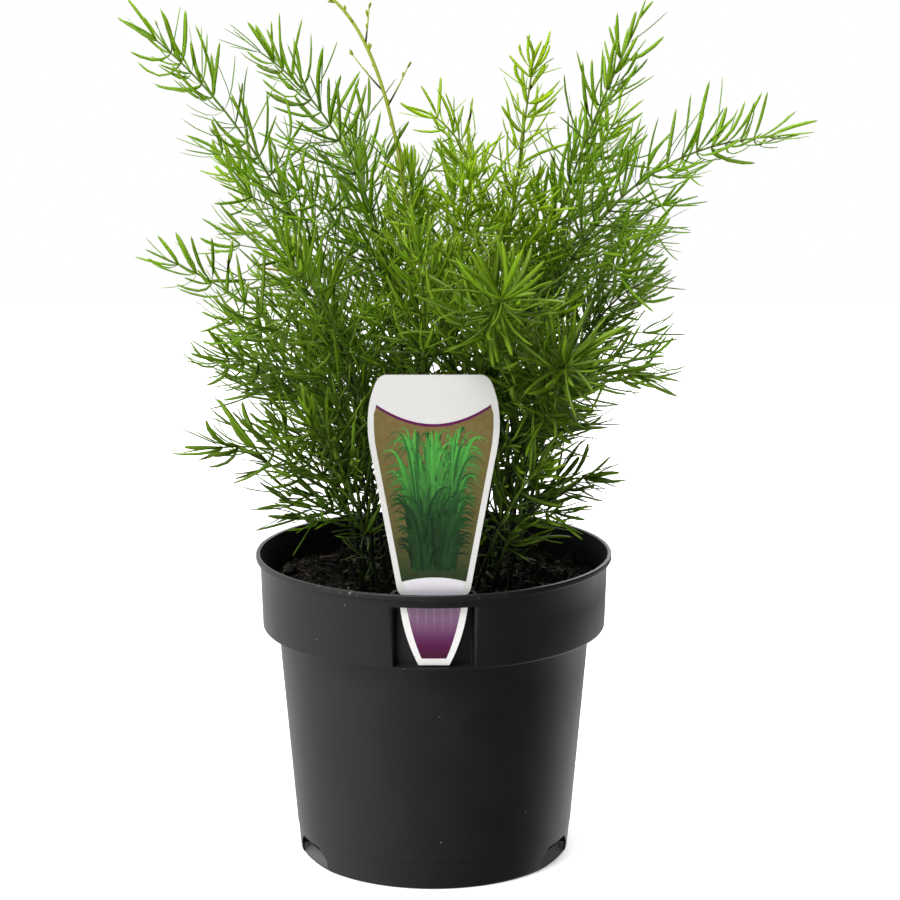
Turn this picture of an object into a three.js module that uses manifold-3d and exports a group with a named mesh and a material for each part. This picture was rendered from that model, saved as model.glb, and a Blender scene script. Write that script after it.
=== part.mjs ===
// Foxtail fern in a nursery pot.
// Millimetres, +Z up, front faces -Y. The origin is the centre of the pot's flat foot.

import * as THREE from "three";
import { mergeVertices } from "three/addons/utils/BufferGeometryUtils.js";
import Module from "manifold-3d";

const wasm = await Module();
wasm.setup();

// ---------------------------------------------------------------------------
// Driving dimensions
// ---------------------------------------------------------------------------

const GAP = 0.3; // clearance between pieces that rest against each other
const ROUND = 48; // facets round the pot and the soil

// Pot
const POT_H = 147;
const WALL = 1.5;
const FLOOR = 2;
const FOOT_R = 65; // outside radius at the foot
const FOOT_ROUND = 0.8;
const BODY_TOP_R = 74.4; // outside radius just under the collar
const COLLAR_Z = 111; // underside of the collar
const COLLAR_LOW_R = 82;
const COLLAR_TOP_R = 83;
const COLLAR_ROUND = 1.4;
const LIP_R = 85;
const LIP_H = 2.6;
const BEYOND = LIP_R + 10; // a radius outside the whole pot

// Label slot in the front of the collar
const SLOT_ANGLE = THREE.MathUtils.degToRad(13); // half of the angle it takes up
const SLOT_WALL_R = 76; // outside of the wall behind the label
const SLOT_LOW_Z = COLLAR_Z + 1.4;
const BAND_LOW_Z = 140.7; // the band spans the slot from here to the lip
const BAND_IN_R = 81.5;

// Drain openings round the foot, two on each side
const DRAIN_AT = [64.5, 115.5, -64.5, -115.5].map(THREE.MathUtils.degToRad);
const DRAIN_LOW_ANGLE = THREE.MathUtils.degToRad(13.5);
const DRAIN_TOP_ANGLE = THREE.MathUtils.degToRad(8.3);
const DRAIN_H = 10.5;
const DRAIN_SILL_H = 7; // the sloping sill under the hole
const DRAIN_SILL_LOW_R = 63.3;
const DRAIN_SILL_TOP_R = 60.5;
const DRAIN_SILL_IN_R = 58.9; // inside face of the sill
const DRAIN_DEEP_R = 54;

// Potting mix
const SOIL_Z = 133; // mean height of its surface
const SOIL_BUMP = 1.1; // height of its bumps
const SOIL_RINGS = [66, 50, 34, 17]; // radii at which the surface is free to rise and fall
const SOIL_CORE_R = 58.4; // radius where it is held off the drain sills
const SOIL_CORE_Z = 11.5;

// Plant label, a flat sheet that stands behind the band
const LABEL_Y = -79.2;
const LABEL_T = 0.6;
const LABEL_TOP_Z = 247;
const LABEL_WIDE_Z = 224; // height of the widest part of the blade
const LABEL_WIDE = 30.6; // half widths from here on
const LABEL_TOP = 25.5;
const LABEL_TOP_ROUND = 4.5;
const LABEL_SHOULDER = 16.4;
const LABEL_SHOULDER_Z = 153;
const LABEL_NECK = 13;
const LABEL_NECK_Z = 148;
const LABEL_TONGUE = 16;
const LABEL_TONGUE_Z = 142;
const LABEL_TIP = 7.4;
const LABEL_TIP_Z = 113.8;

// Fronds
const STEM_FOOT_Z = 121; // how deep the stems stand in the mix
const STEM_R = 1.35; // stem radius in the mix and at the tip
const STEM_TIP_R = 0.5;
const STEM_POINT = 6; // length of the point that it ends in
const STEM_STEPS = 6;
const STEM_SIDES = 4;
const BRANCH_R = 0.75;
const BRANCH_FULLEST = 0.25; // share of its length where a branch is thickest
const BRANCH_ANGLE = THREE.MathUtils.degToRad(54); // between a branch and its stem
const NEEDLE_R = 0.85;
const NEEDLE_L = 19;
const NEEDLE_FULLEST = 0.5;
const NEEDLE_AT = 0.45; // where a branch carries its needle
const BRANCH_END = 0.94; // share of the stem where branches stop
const TIP_FROM = 0.84; // the last needles sit on the stem itself, from here on
const TIP_NEEDLES = 4;
const NEEDLE_ANGLE = THREE.MathUtils.degToRad(42);
const GOLDEN = THREE.MathUtils.degToRad(137.5); // turn from one branch to the next
const CLEAR = 0.45; // least gap kept between two fronds
const SOCKET_GAP = 0.5; // at the corners of a stem's socket, so that its flats keep GAP
const ROOT_CLEAR = 1.5; // length at a root that lies inside its own stem
const TRIALS = 7; // turns that a branch tries before it is left out
const TURN_STEP = 0.4;
const SOIL_ROOM = 4; // how far branches stay above the mix,
const RIM_ROOM = 3; // above the rim,
const RIM_IN_R = 70; // inside this radius below the rim,
const LABEL_ROOM = 3.6; // and away from the label

// Each frond is drawn by three points of a curve: foot (x, y) in the mix, bend (x, y, z) and tip (x, y, z).
// spread is its longest side branch, bare the share of the stem with no branches, branches their number.
const FRONDS = [
  { foot: [-22, -6], bend: [-37, -8, 313], tip: [-126, -10, 389], spread: 34, bare: 0.3, branches: 9 },
  { foot: [-14, 6], bend: [0, 18, 326], tip: [-81, 30, 381], spread: 38, bare: 0.3, branches: 9 },
  { foot: [-8, -6], bend: [2, -2, 379], tip: [-51, 0, 411], spread: 22, bare: 0.6, branches: 5 },
  { foot: [6, 4], bend: [52, 14, 312], tip: [2, 20, 351], spread: 34, bare: 0.35, branches: 8 },
  { foot: [16, -6], bend: [32, -12, 283], tip: [45, -16, 376], spread: 34, bare: 0.35, branches: 9 },
  { foot: [20, 6], bend: [34, 18, 264], tip: [92, 26, 386], spread: 36, bare: 0.3, branches: 10 },
  { foot: [30, -4], bend: [33, -10, 337], tip: [153, -20, 346], spread: 30, bare: 0.35, branches: 10 },
  { foot: [-30, -12], bend: [-20, -26, 243], tip: [-115, -45, 291], spread: 32, bare: 0.25, branches: 9 },
  { foot: [-34, -24], bend: [-30, -40, 211], tip: [-95, -60, 210], spread: 24, bare: 0.3, branches: 8 },
  { foot: [-34, 2], bend: [-29, -6, 248], tip: [-99, -15, 241], spread: 28, bare: 0.25, branches: 8 },
  { foot: [36, -16], bend: [34, -24, 252], tip: [94, -35, 238], spread: 28, bare: 0.25, branches: 8 },
  { foot: [34, -28], bend: [38, -36, 193], tip: [71, -45, 192], spread: 22, bare: 0.3, branches: 7 },
  { foot: [26, -36], bend: [30, -56, 182], tip: [54, -66, 181], spread: 20, bare: 0.3, branches: 6 },
  { foot: [34, 8], bend: [58, 6, 258], tip: [98, 10, 274], spread: 34, bare: 0.25, branches: 9 },
  { foot: [12, -26], bend: [18, -44, 262], tip: [30, -112, 286], spread: 32, bare: 0.3, branches: 8 },
  { foot: [22, -20], bend: [40, -46, 238], tip: [58, -100, 254], spread: 30, bare: 0.25, branches: 8 },
  { foot: [-14, -22], bend: [-30, -38, 262], tip: [-64, -76, 297], spread: 34, bare: 0.25, branches: 8 },
  { foot: [-22, -34], bend: [-38, -50, 205], tip: [-54, -86, 226], spread: 24, bare: 0.3, branches: 7 },
  { foot: [14, -40], bend: [34, -54, 192], tip: [49, -84, 205], spread: 22, bare: 0.3, branches: 6 },
  { foot: [-2, -30], bend: [-2, -38, 258], tip: [-6, -68, 301], spread: 34, bare: 0.3, branches: 8 },
  { foot: [4, -14], bend: [10, -20, 290], tip: [17, -32, 329], spread: 38, bare: 0.35, branches: 8 },
  { foot: [-4, 12], bend: [-10, 26, 276], tip: [-10, 44, 324], spread: 38, bare: 0.35, branches: 8 },
  { foot: [-20, 22], bend: [-50, 40, 270], tip: [-100, 70, 323], spread: 36, bare: 0.3, branches: 9 },
  { foot: [-8, 28], bend: [-20, 54, 276], tip: [-41, 98, 332], spread: 36, bare: 0.3, branches: 9 },
  { foot: [4, 30], bend: [10, 60, 270], tip: [11, 110, 318], spread: 38, bare: 0.3, branches: 9 },
  { foot: [14, 24], bend: [36, 46, 280], tip: [87, 70, 342], spread: 36, bare: 0.3, branches: 9 },
  { foot: [28, 20], bend: [60, 42, 256], tip: [103, 66, 286], spread: 34, bare: 0.3, branches: 8 },
  { foot: [-32, 16], bend: [-58, 34, 238], tip: [-100, 50, 251], spread: 32, bare: 0.3, branches: 8 },
  { foot: [18, 38], bend: [34, 74, 214], tip: [62, 108, 230], spread: 28, bare: 0.3, branches: 7 },
  { foot: [-18, 38], bend: [-34, 74, 218], tip: [-58, 110, 232], spread: 28, bare: 0.3, branches: 7 },
];
const YOUNG_FRONDS = [3, 4, 5]; // new growth, of a paler green

// ---------------------------------------------------------------------------
// Solids
// ---------------------------------------------------------------------------

// The closed solid of a geometry, with its shared vertices merged.
function solid(geometry) {
  const plain = geometry.clone();
  plain.deleteAttribute("normal");
  plain.deleteAttribute("uv");
  const merged = mergeVertices(plain, 1e-4);
  const vertProperties = Float32Array.from(merged.attributes.position.array);
  const triVerts = Uint32Array.from(merged.index.array);
  return new wasm.Manifold(new wasm.Mesh({ numProp: 3, vertProperties, triVerts }));
}

// The geometry of a solid.
function geometryOf(body) {
  const mesh = body.getMesh();
  const geometry = new THREE.BufferGeometry();
  geometry.setAttribute("position", new THREE.BufferAttribute(Float32Array.from(mesh.vertProperties), 3));
  geometry.setIndex(new THREE.BufferAttribute(Uint32Array.from(mesh.triVerts), 1));
  return geometry;
}

// A profile of [radius, height] points turned round the Z axis.
function turned(profile) {
  const points = profile.map(([r, z]) => new THREE.Vector2(r, z));
  return new THREE.LatheGeometry(points, ROUND).rotateX(Math.PI / 2);
}

// A point on a circle round the Z axis. Angle 0 is the front and it grows to the right.
function polar(radius, angle) {
  return [radius * Math.sin(angle), -radius * Math.cos(angle)];
}

// A block between two radii and two heights, across an angle to each side of where it is centred.
function sector(inner, outer, centre, halfAngle, low, high) {
  const arc = (radius, side) => {
    const angles = [-1, -0.5, 0, 0.5, 1].map((share) => centre + side * share * halfAngle);
    return angles.map((angle) => new THREE.Vector2(...polar(radius, angle)));
  };
  const shape = new THREE.Shape([...arc(outer, 1), ...arc(inner, -1)]);
  const depth = high - low;
  return new THREE.ExtrudeGeometry(shape, { depth, bevelEnabled: false }).translate(0, 0, low);
}

// A direction at right angles to an axis.
function sideways(axis) {
  const other = Math.abs(axis.z) > 0.9 ? new THREE.Vector3(1, 0, 0) : new THREE.Vector3(0, 0, 1);
  return axis.clone().cross(other).normalize();
}

// A closed tube through points, with a radius at each and a point at both ends.
function spindle(points, radii, sides) {
  const vertices = [points[0].clone()];
  const triangles = [];
  const last = points.length - 1;
  const across = sideways(points[1].clone().sub(points[0]).normalize());
  for (let i = 1; i < last; i += 1) {
    const along = points[i + 1].clone().sub(points[i - 1]).normalize();
    across.addScaledVector(along, -across.dot(along)).normalize();
    const over = along.clone().cross(across);
    for (let k = 0; k < sides; k += 1) {
      const turn = (2 * Math.PI * k) / sides;
      const out = across.clone().multiplyScalar(Math.cos(turn)).addScaledVector(over, Math.sin(turn));
      vertices.push(points[i].clone().addScaledVector(out, radii[i]));
    }
  }
  const end = vertices.length;
  vertices.push(points[last].clone());
  for (let k = 0; k < sides; k += 1) {
    const next = (k + 1) % sides;
    triangles.push(0, 1 + next, 1 + k);
    for (let ring = 0; ring < last - 2; ring += 1) {
      const a = 1 + ring * sides;
      const b = a + sides;
      triangles.push(a + k, a + next, b + next, a + k, b + next, b + k);
    }
    const a = end - sides;
    triangles.push(a + k, a + next, end);
  }
  const geometry = new THREE.BufferGeometry();
  const flat = vertices.flatMap((vertex) => vertex.toArray());
  geometry.setAttribute("position", new THREE.Float32BufferAttribute(flat, 3));
  geometry.setIndex(triangles);
  return geometry;
}

// ---------------------------------------------------------------------------
// Pot
// ---------------------------------------------------------------------------

// Outside radius of the body's straight taper.
function bodyRadius(z) {
  return FOOT_R + ((BODY_TOP_R - FOOT_R) * z) / COLLAR_Z;
}

// Radius of the inside of the collar.
function collarInRadius(z) {
  const share = (z - COLLAR_Z) / (POT_H - COLLAR_Z);
  return COLLAR_LOW_R - WALL + (COLLAR_TOP_R - COLLAR_LOW_R) * share;
}

// What one drain opening takes away: the wall in front of a leaning sill, and a hole above the sill.
function drainCut(centre) {
  const low = sector(DRAIN_SILL_LOW_R, BEYOND, centre, DRAIN_LOW_ANGLE, -1, DRAIN_SILL_H);
  const hole = sector(DRAIN_DEEP_R, BEYOND, centre, DRAIN_TOP_ANGLE, DRAIN_SILL_H, DRAIN_H);
  const position = low.attributes.position;
  for (let i = 0; i < position.count; i += 1) {
    const radius = Math.hypot(position.getX(i), position.getY(i));
    const onTop = position.getZ(i) > 0;
    if (onTop && radius < FOOT_R) {
      const scale = DRAIN_SILL_TOP_R / DRAIN_SILL_LOW_R;
      position.setXY(i, position.getX(i) * scale, position.getY(i) * scale);
    }
  }
  return solid(low).add(solid(hole));
}

function makePot() {
  const outside = [
    [0, 0],
    [FOOT_R - FOOT_ROUND, 0],
    [bodyRadius(FOOT_ROUND), FOOT_ROUND],
    [bodyRadius(COLLAR_Z - 1), COLLAR_Z - 1],
    [BODY_TOP_R + 1, COLLAR_Z],
    [COLLAR_LOW_R - COLLAR_ROUND, COLLAR_Z],
    [COLLAR_LOW_R, COLLAR_Z + COLLAR_ROUND],
    [COLLAR_TOP_R, POT_H - LIP_H - 0.6],
    [LIP_R, POT_H - LIP_H],
    [LIP_R, POT_H - 0.6],
    [LIP_R - 0.6, POT_H],
    [0, POT_H],
  ];
  const inside = [
    [0, FLOOR],
    [bodyRadius(FLOOR) - WALL - 1, FLOOR],
    [bodyRadius(FLOOR + 1) - WALL, FLOOR + 1],
    [bodyRadius(COLLAR_Z) - WALL, COLLAR_Z + WALL],
    [collarInRadius(COLLAR_Z + WALL), COLLAR_Z + WALL],
    [collarInRadius(POT_H + 1), POT_H + 1],
    [0, POT_H + 1],
  ];
  const wallAngle = SLOT_ANGLE + WALL / SLOT_WALL_R;
  const slotHousing = sector(SLOT_WALL_R - WALL, BEYOND, 0, wallAngle, COLLAR_Z, POT_H + 2);
  let cavity = solid(turned(inside)).subtract(solid(slotHousing));
  for (const centre of DRAIN_AT) {
    const sill = sector(DRAIN_SILL_IN_R, BEYOND, centre, DRAIN_LOW_ANGLE + WALL / FOOT_R, 0, DRAIN_SILL_H);
    cavity = cavity.subtract(solid(sill));
  }
  const recess = sector(SLOT_WALL_R, BEYOND, 0, SLOT_ANGLE, SLOT_LOW_Z, BAND_LOW_Z);
  const slot = sector(SLOT_WALL_R, BAND_IN_R, 0, SLOT_ANGLE, BAND_LOW_Z - 1, POT_H + 1);
  let pot = solid(turned(outside)).subtract(cavity).subtract(solid(recess)).subtract(solid(slot));
  for (const centre of DRAIN_AT) {
    pot = pot.subtract(drainCut(centre));
  }
  return pot;
}

// ---------------------------------------------------------------------------
// Potting mix
// ---------------------------------------------------------------------------

function soilBump(x, y) {
  const broad = Math.sin(x / 9.1 + 0.7) * Math.cos(y / 7.7 - 0.4);
  const fine = Math.sin(x / 4.3 - y / 5.9);
  return SOIL_BUMP * (0.7 * broad + 0.3 * fine);
}

function makeSoil(stems) {
  const bodyTop = bodyRadius(COLLAR_Z) - WALL - GAP;
  const profile = [
    [0, FLOOR + GAP],
    [SOIL_CORE_R, FLOOR + GAP],
    [SOIL_CORE_R, SOIL_CORE_Z],
    [bodyRadius(SOIL_CORE_Z) - WALL - GAP, SOIL_CORE_Z],
    [bodyTop, COLLAR_Z + WALL + GAP],
    [collarInRadius(COLLAR_Z + WALL) - GAP, COLLAR_Z + WALL + GAP],
    [collarInRadius(SOIL_Z) - GAP, SOIL_Z],
    ...SOIL_RINGS.map((r) => [r, SOIL_Z]),
    [0, SOIL_Z],
  ];
  const geometry = turned(profile);
  const position = geometry.attributes.position;
  for (let i = 0; i < position.count; i += 1) {
    if (position.getZ(i) > SOIL_Z - 0.01) {
      const bump = soilBump(position.getX(i), position.getY(i));
      position.setZ(i, SOIL_Z + bump);
    }
  }
  const housingAngle = SLOT_ANGLE + (WALL + 2 * GAP) / SLOT_WALL_R;
  const housing = sector(SLOT_WALL_R - WALL - 2 * GAP, BEYOND, 0, housingAngle, COLLAR_Z, POT_H);
  let soil = solid(geometry).subtract(solid(housing));
  for (const stem of stems) {
    soil = soil.subtract(solid(stemTube(stem.curve, SOCKET_GAP)));
  }
  return soil;
}

// ---------------------------------------------------------------------------
// Plant label
// ---------------------------------------------------------------------------

function makeLabel() {
  const shape = new THREE.Shape();
  shape.moveTo(-LABEL_TIP, LABEL_TIP_Z);
  shape.lineTo(LABEL_TIP, LABEL_TIP_Z);
  const tongueMid = (LABEL_TONGUE_Z + LABEL_TIP_Z) / 2;
  shape.quadraticCurveTo(LABEL_TONGUE - 1.2, tongueMid, LABEL_TONGUE, LABEL_TONGUE_Z);
  shape.lineTo(LABEL_NECK, LABEL_TONGUE_Z);
  shape.lineTo(LABEL_NECK, LABEL_NECK_Z);
  shape.quadraticCurveTo(LABEL_SHOULDER, LABEL_NECK_Z, LABEL_SHOULDER + 0.6, LABEL_SHOULDER_Z);
  const bladeMid = LABEL_SHOULDER_Z + (LABEL_WIDE_Z - LABEL_SHOULDER_Z) * 0.62;
  shape.quadraticCurveTo(LABEL_WIDE - 1.4, bladeMid, LABEL_WIDE, LABEL_WIDE_Z);
  shape.quadraticCurveTo(LABEL_WIDE, LABEL_TOP_Z - 10, LABEL_TOP + 1.4, LABEL_TOP_Z - LABEL_TOP_ROUND);
  shape.quadraticCurveTo(LABEL_TOP, LABEL_TOP_Z, LABEL_TOP - LABEL_TOP_ROUND, LABEL_TOP_Z);
  const right = shape.getPoints(4);
  const left = right.map((point) => new THREE.Vector2(-point.x, point.y)).reverse();
  const outline = new THREE.Shape([...right.slice(1), ...left.slice(0, -1)]);
  const depth = LABEL_T;
  const sheet = new THREE.ExtrudeGeometry(outline, { depth, bevelEnabled: false });
  return sheet.rotateX(Math.PI / 2).translate(0, LABEL_Y + LABEL_T / 2, 0);
}

// ---------------------------------------------------------------------------
// Fronds
// ---------------------------------------------------------------------------

// A repeatable stream of numbers from 0 to 1.
function numbers(seed) {
  let state = seed >>> 0;
  return () => {
    state = (state + 0x6d2b79f5) >>> 0;
    let t = state;
    t = Math.imul(t ^ (t >>> 15), t | 1);
    t ^= t + Math.imul(t ^ (t >>> 7), t | 61);
    return ((t ^ (t >>> 14)) >>> 0) / 4294967296;
  };
}

function stemRadius(share) {
  return STEM_R + (STEM_TIP_R - STEM_R) * share;
}

function stemPoints(curve) {
  return curve.getPoints(STEM_STEPS);
}

// A point on the axis of the stem's tube, which runs straight between its steps.
function stemPoint(curve, at) {
  const step = Math.min(Math.floor(at * STEM_STEPS), STEM_STEPS - 1);
  const from = curve.getPoint(step / STEM_STEPS);
  const to = curve.getPoint((step + 1) / STEM_STEPS);
  return from.lerp(to, at * STEM_STEPS - step);
}

// The stem as a solid tube, grown all round by extra for its socket in the mix.
function stemTube(curve, extra) {
  const points = stemPoints(curve);
  const radii = points.map((point, i) => stemRadius(i / STEM_STEPS) + extra);
  const start = curve.getTangent(0);
  const end = curve.getTangent(1);
  points[0].addScaledVector(start, -extra);
  const root = points[0].clone().addScaledVector(start, -0.5);
  const tip = points[STEM_STEPS].clone().addScaledVector(end, STEM_POINT);
  return spindle([root, ...points, tip], [0, ...radii, 0], STEM_SIDES);
}

// Least distance between two straight pieces, each with ends a and b.
function pieceDistance(one, two) {
  const u = one.b.clone().sub(one.a);
  const v = two.b.clone().sub(two.a);
  const w = one.a.clone().sub(two.a);
  const uu = u.dot(u);
  const uv = u.dot(v);
  const vv = v.dot(v);
  const uw = u.dot(w);
  const vw = v.dot(w);
  const across = uu * vv - uv * uv;
  let s = across > 1e-9 ? THREE.MathUtils.clamp((uv * vw - vv * uw) / across, 0, 1) : 0;
  const t = THREE.MathUtils.clamp((uv * s + vw) / vv, 0, 1);
  s = THREE.MathUtils.clamp((uv * t - uw) / uu, 0, 1);
  const near = one.a.clone().addScaledVector(u, s);
  return near.distanceTo(two.a.clone().addScaledVector(v, t));
}

// True where a piece stays off the pot, the mix and the label.
function clearOfPot(piece) {
  for (let i = 0; i <= 8; i += 1) {
    const point = piece.a.clone().lerp(piece.b, i / 8);
    const radius = Math.hypot(point.x, point.y);
    const offLabel = Math.abs(point.y - LABEL_Y) > LABEL_ROOM || Math.abs(point.x) > LABEL_WIDE + LABEL_ROOM;
    if (point.z < SOIL_Z + SOIL_ROOM || (point.z < POT_H + RIM_ROOM && radius > RIM_IN_R)) {
      return false;
    }
    if (!offLabel && point.z < LABEL_TOP_Z + LABEL_ROOM) {
      return false;
    }
  }
  return true;
}

function isFree(piece, taken) {
  if (!clearOfPot(piece)) {
    return false;
  }
  for (const other of taken) {
    const near = piece.r + other.r + CLEAR;
    if (other.frond !== piece.frond && pieceDistance(piece, other) < near) {
      return false;
    }
  }
  return true;
}

// A direction that leaves an axis at an angle, turned round that axis.
function leaving(axis, angle, turn) {
  const across = sideways(axis);
  const over = across.clone().cross(axis);
  const out = over.multiplyScalar(Math.cos(turn)).addScaledVector(across, Math.sin(turn));
  return axis.clone().multiplyScalar(Math.cos(angle)).addScaledVector(out, Math.sin(angle));
}

// Tries to grow a straight piece from a point; the turn is shifted until it is free of other fronds.
function grow(start, axis, angle, turn, length, r, frond, taken) {
  for (let trial = 0; trial < TRIALS; trial += 1) {
    const shift = (trial % 2 ? 1 : -1) * Math.ceil(trial / 2) * TURN_STEP;
    const direction = leaving(axis, angle, turn + shift);
    const end = start.clone().addScaledVector(direction, length);
    const piece = { a: start.clone(), b: end, r, frond, direction };
    const outer = { ...piece, a: start.clone().addScaledVector(direction, ROOT_CLEAR) };
    if (isFree(outer, taken)) {
      taken.push(outer);
      return piece;
    }
  }
  return null;
}

// A branch or needle as a slender three-sided solid, thickest at a share of its length.
function sliver(piece, fullest) {
  const middle = piece.a.clone().lerp(piece.b, fullest);
  return spindle([piece.a, middle, piece.b], [0, piece.r, 0], 3);
}

// Branches are longest a little way up a frond and half as long at its tip.
function branchLength(spread, share) {
  const swell = 0.55 + 0.45 * Math.sin(Math.PI * Math.min(1, share + 0.3));
  return spread * swell * (1.1 - 0.5 * share);
}

function makeFrond(stem, taken) {
  const { curve, index } = stem;
  const next = numbers(101 + index);
  let body = solid(stemTube(curve, 0));
  const { spread, bare, branches } = FRONDS[index];
  for (let i = 0; i < branches; i += 1) {
    const share = i / (branches - 1);
    const at = bare + (BRANCH_END - bare) * share;
    const start = stemPoint(curve, at);
    const axis = curve.getTangent(at);
    const turn = GOLDEN * i + 0.6 * next();
    const length = branchLength(spread, share);
    const branch = grow(start, axis, BRANCH_ANGLE, turn, length, BRANCH_R, index, taken);
    if (!branch) {
      continue;
    }
    body = body.add(solid(sliver(branch, BRANCH_FULLEST)));
    const root = branch.a.clone().lerp(branch.b, NEEDLE_AT);
    const side = 2 * Math.PI * next();
    const needle = grow(root, branch.direction, NEEDLE_ANGLE, side, NEEDLE_L, NEEDLE_R, index, taken);
    if (needle) {
      body = body.add(solid(sliver(needle, NEEDLE_FULLEST)));
    }
  }
  for (let i = 0; i < TIP_NEEDLES; i += 1) {
    const at = TIP_FROM + (i * (BRANCH_END - TIP_FROM)) / TIP_NEEDLES;
    const root = stemPoint(curve, at);
    const axis = curve.getTangent(at);
    const needle = grow(root, axis, NEEDLE_ANGLE, GOLDEN * i, NEEDLE_L, NEEDLE_R, index, taken);
    if (needle) {
      body = body.add(solid(sliver(needle, NEEDLE_FULLEST)));
    }
  }
  return body;
}

// ---------------------------------------------------------------------------
// Assembly
// ---------------------------------------------------------------------------

const group = new THREE.Group();

function place(name, geometry, color, roughness) {
  const material = new THREE.MeshStandardMaterial({ color, roughness, metalness: 0 });
  const mesh = new THREE.Mesh(geometry, material);
  mesh.name = name;
  group.add(mesh);
}

const stems = FRONDS.map((frond, index) => {
  const foot = new THREE.Vector3(...frond.foot, STEM_FOOT_Z);
  const bend = new THREE.Vector3(...frond.bend);
  const tip = new THREE.Vector3(...frond.tip);
  return { index, curve: new THREE.QuadraticBezierCurve3(foot, bend, tip) };
});

const taken = [];
for (const { curve, index } of stems) {
  const points = stemPoints(curve);
  for (let i = 0; i < STEM_STEPS; i += 1) {
    const r = stemRadius(i / STEM_STEPS);
    taken.push({ a: points[i], b: points[i + 1], r, frond: index });
  }
}

place("pot", geometryOf(makePot()), 0x2a2a2b, 0.45);
place("soil", geometryOf(makeSoil(stems)), 0x2a1c13, 0.95);
place("plant_label", makeLabel(), 0xe9e8e4, 0.35);
for (const stem of stems) {
  const number = stem.index + 1;
  const name = `frond_${String(number).padStart(2, "0")}`;
  const green = YOUNG_FRONDS.includes(number) ? 0x86a92c : 0x4a7a1c;
  place(name, geometryOf(makeFrond(stem, taken)), green, 0.5);
}

export default group;
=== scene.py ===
"""A foxtail fern in its nursery pot: finishes, needles, potting mix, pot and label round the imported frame."""

import math
import random

import bmesh
import bpy
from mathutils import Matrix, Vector, geometry, noise


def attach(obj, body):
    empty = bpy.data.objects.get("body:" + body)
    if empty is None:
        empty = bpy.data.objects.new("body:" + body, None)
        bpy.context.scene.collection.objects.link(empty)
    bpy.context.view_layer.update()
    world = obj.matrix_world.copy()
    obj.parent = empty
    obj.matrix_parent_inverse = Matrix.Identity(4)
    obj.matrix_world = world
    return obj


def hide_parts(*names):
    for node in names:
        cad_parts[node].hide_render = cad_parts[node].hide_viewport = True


MM = 0.001
UP = Vector((0, 0, 1))
GOLDEN = math.radians(137.5)

# Pot, in metres
POT_H = 147 * MM
WALL = 1.5 * MM
FLOOR = 2 * MM
FOOT_R = 65 * MM
BODY_TOP_R = 74.4 * MM
COLLAR_Z = 111 * MM
COLLAR_LOW_R = 82 * MM
COLLAR_TOP_R = 83 * MM
LIP_R = 85 * MM
MOUTH_R = 83.0 * MM
LIP_H = 2.6 * MM
BEYOND = LIP_R + 10 * MM
POT_FACETS = 180
POT_CREASE = math.radians(38)
RIB_STEP = 0.25 * MM

# Label slot
SLOT_ANGLE = math.radians(13)
SLOT_WALL_R = 76 * MM
SLOT_LOW_Z = COLLAR_Z + 1.4 * MM
BAND_LOW_Z = 140.7 * MM
BAND_IN_R = 81.5 * MM

# Drain openings
DRAIN_AT = [math.radians(a) for a in (64.5, 115.5, -64.5, -115.5)]
DRAIN_LOW_ANGLE = math.radians(13.5)
DRAIN_TOP_ANGLE = math.radians(8.3)
DRAIN_H = 10.5 * MM
DRAIN_SILL_H = 7 * MM
DRAIN_SILL_LOW_R = 64.2 * MM
DRAIN_SILL_TOP_R = 60.0 * MM
DRAIN_SILL_IN_R = 58.9 * MM
DRAIN_DEEP_R = 54 * MM

# Potting mix; SOIL_REACH in millimetres
SOIL_Z = 133 * MM
SOIL_GAP = 0.3 * MM
SOIL_CORE_R = 58.4 * MM
SOIL_CORE_Z = 11.5 * MM
SOIL_FACETS = 240
SOIL_RINGS = 84
SOIL_REACH = 79
CHIPS = 1500
SCRAPS = 130
PALE_CRUMBS = 16
FIBRES = 150

# Plant label; LABEL_BORDER in millimetres
LABEL_Y = -79.2 * MM
LABEL_T = 0.6 * MM
LABEL_TOP_Z = 247 * MM
LABEL_WIDE = 29.3 * MM
LABEL_BORDER = 2.65
LEAVES = 330
LONG_LEAVES = 200

# Studio
FLOOR_HALF = 1.7
LENS = 107.6
CAMERA_AT = (0, -1.250, 0.461)
CAMERA_DOWN = 0.209
CAMERA_TURN = -0.0062

# Fronds
STEM_FOOT_Z = 121 * MM
STEM_R = 1.0 * MM
STEM_TIP_R = 0.40 * MM
SHOOT_TIP_R = 0.75 * MM
NODE_GAP = 11 * MM
TIP_NODE_GAP = 6.8 * MM
BRANCH_NODE_GAP = 9.5 * MM
BRANCH_R = 0.45 * MM
NEEDLE_L = 29 * MM
NEEDLE_W = 1.95 * MM
NEEDLE_CURL = 0.75
BRANCH_NEEDLE_L = 23 * MM
BRANCH_NEEDLE_W = 1.6 * MM
FRONT_EDGE = -133 * MM
FADED_SHARE = 0.0005
LOW_START = 0.10
LEAFY_END = 0.985
SHOOT_LEAFY_END = 0.53
BRANCHED_END = 0.66
BUD_L = 4 * MM
BUD_W = 1.2 * MM

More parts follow.
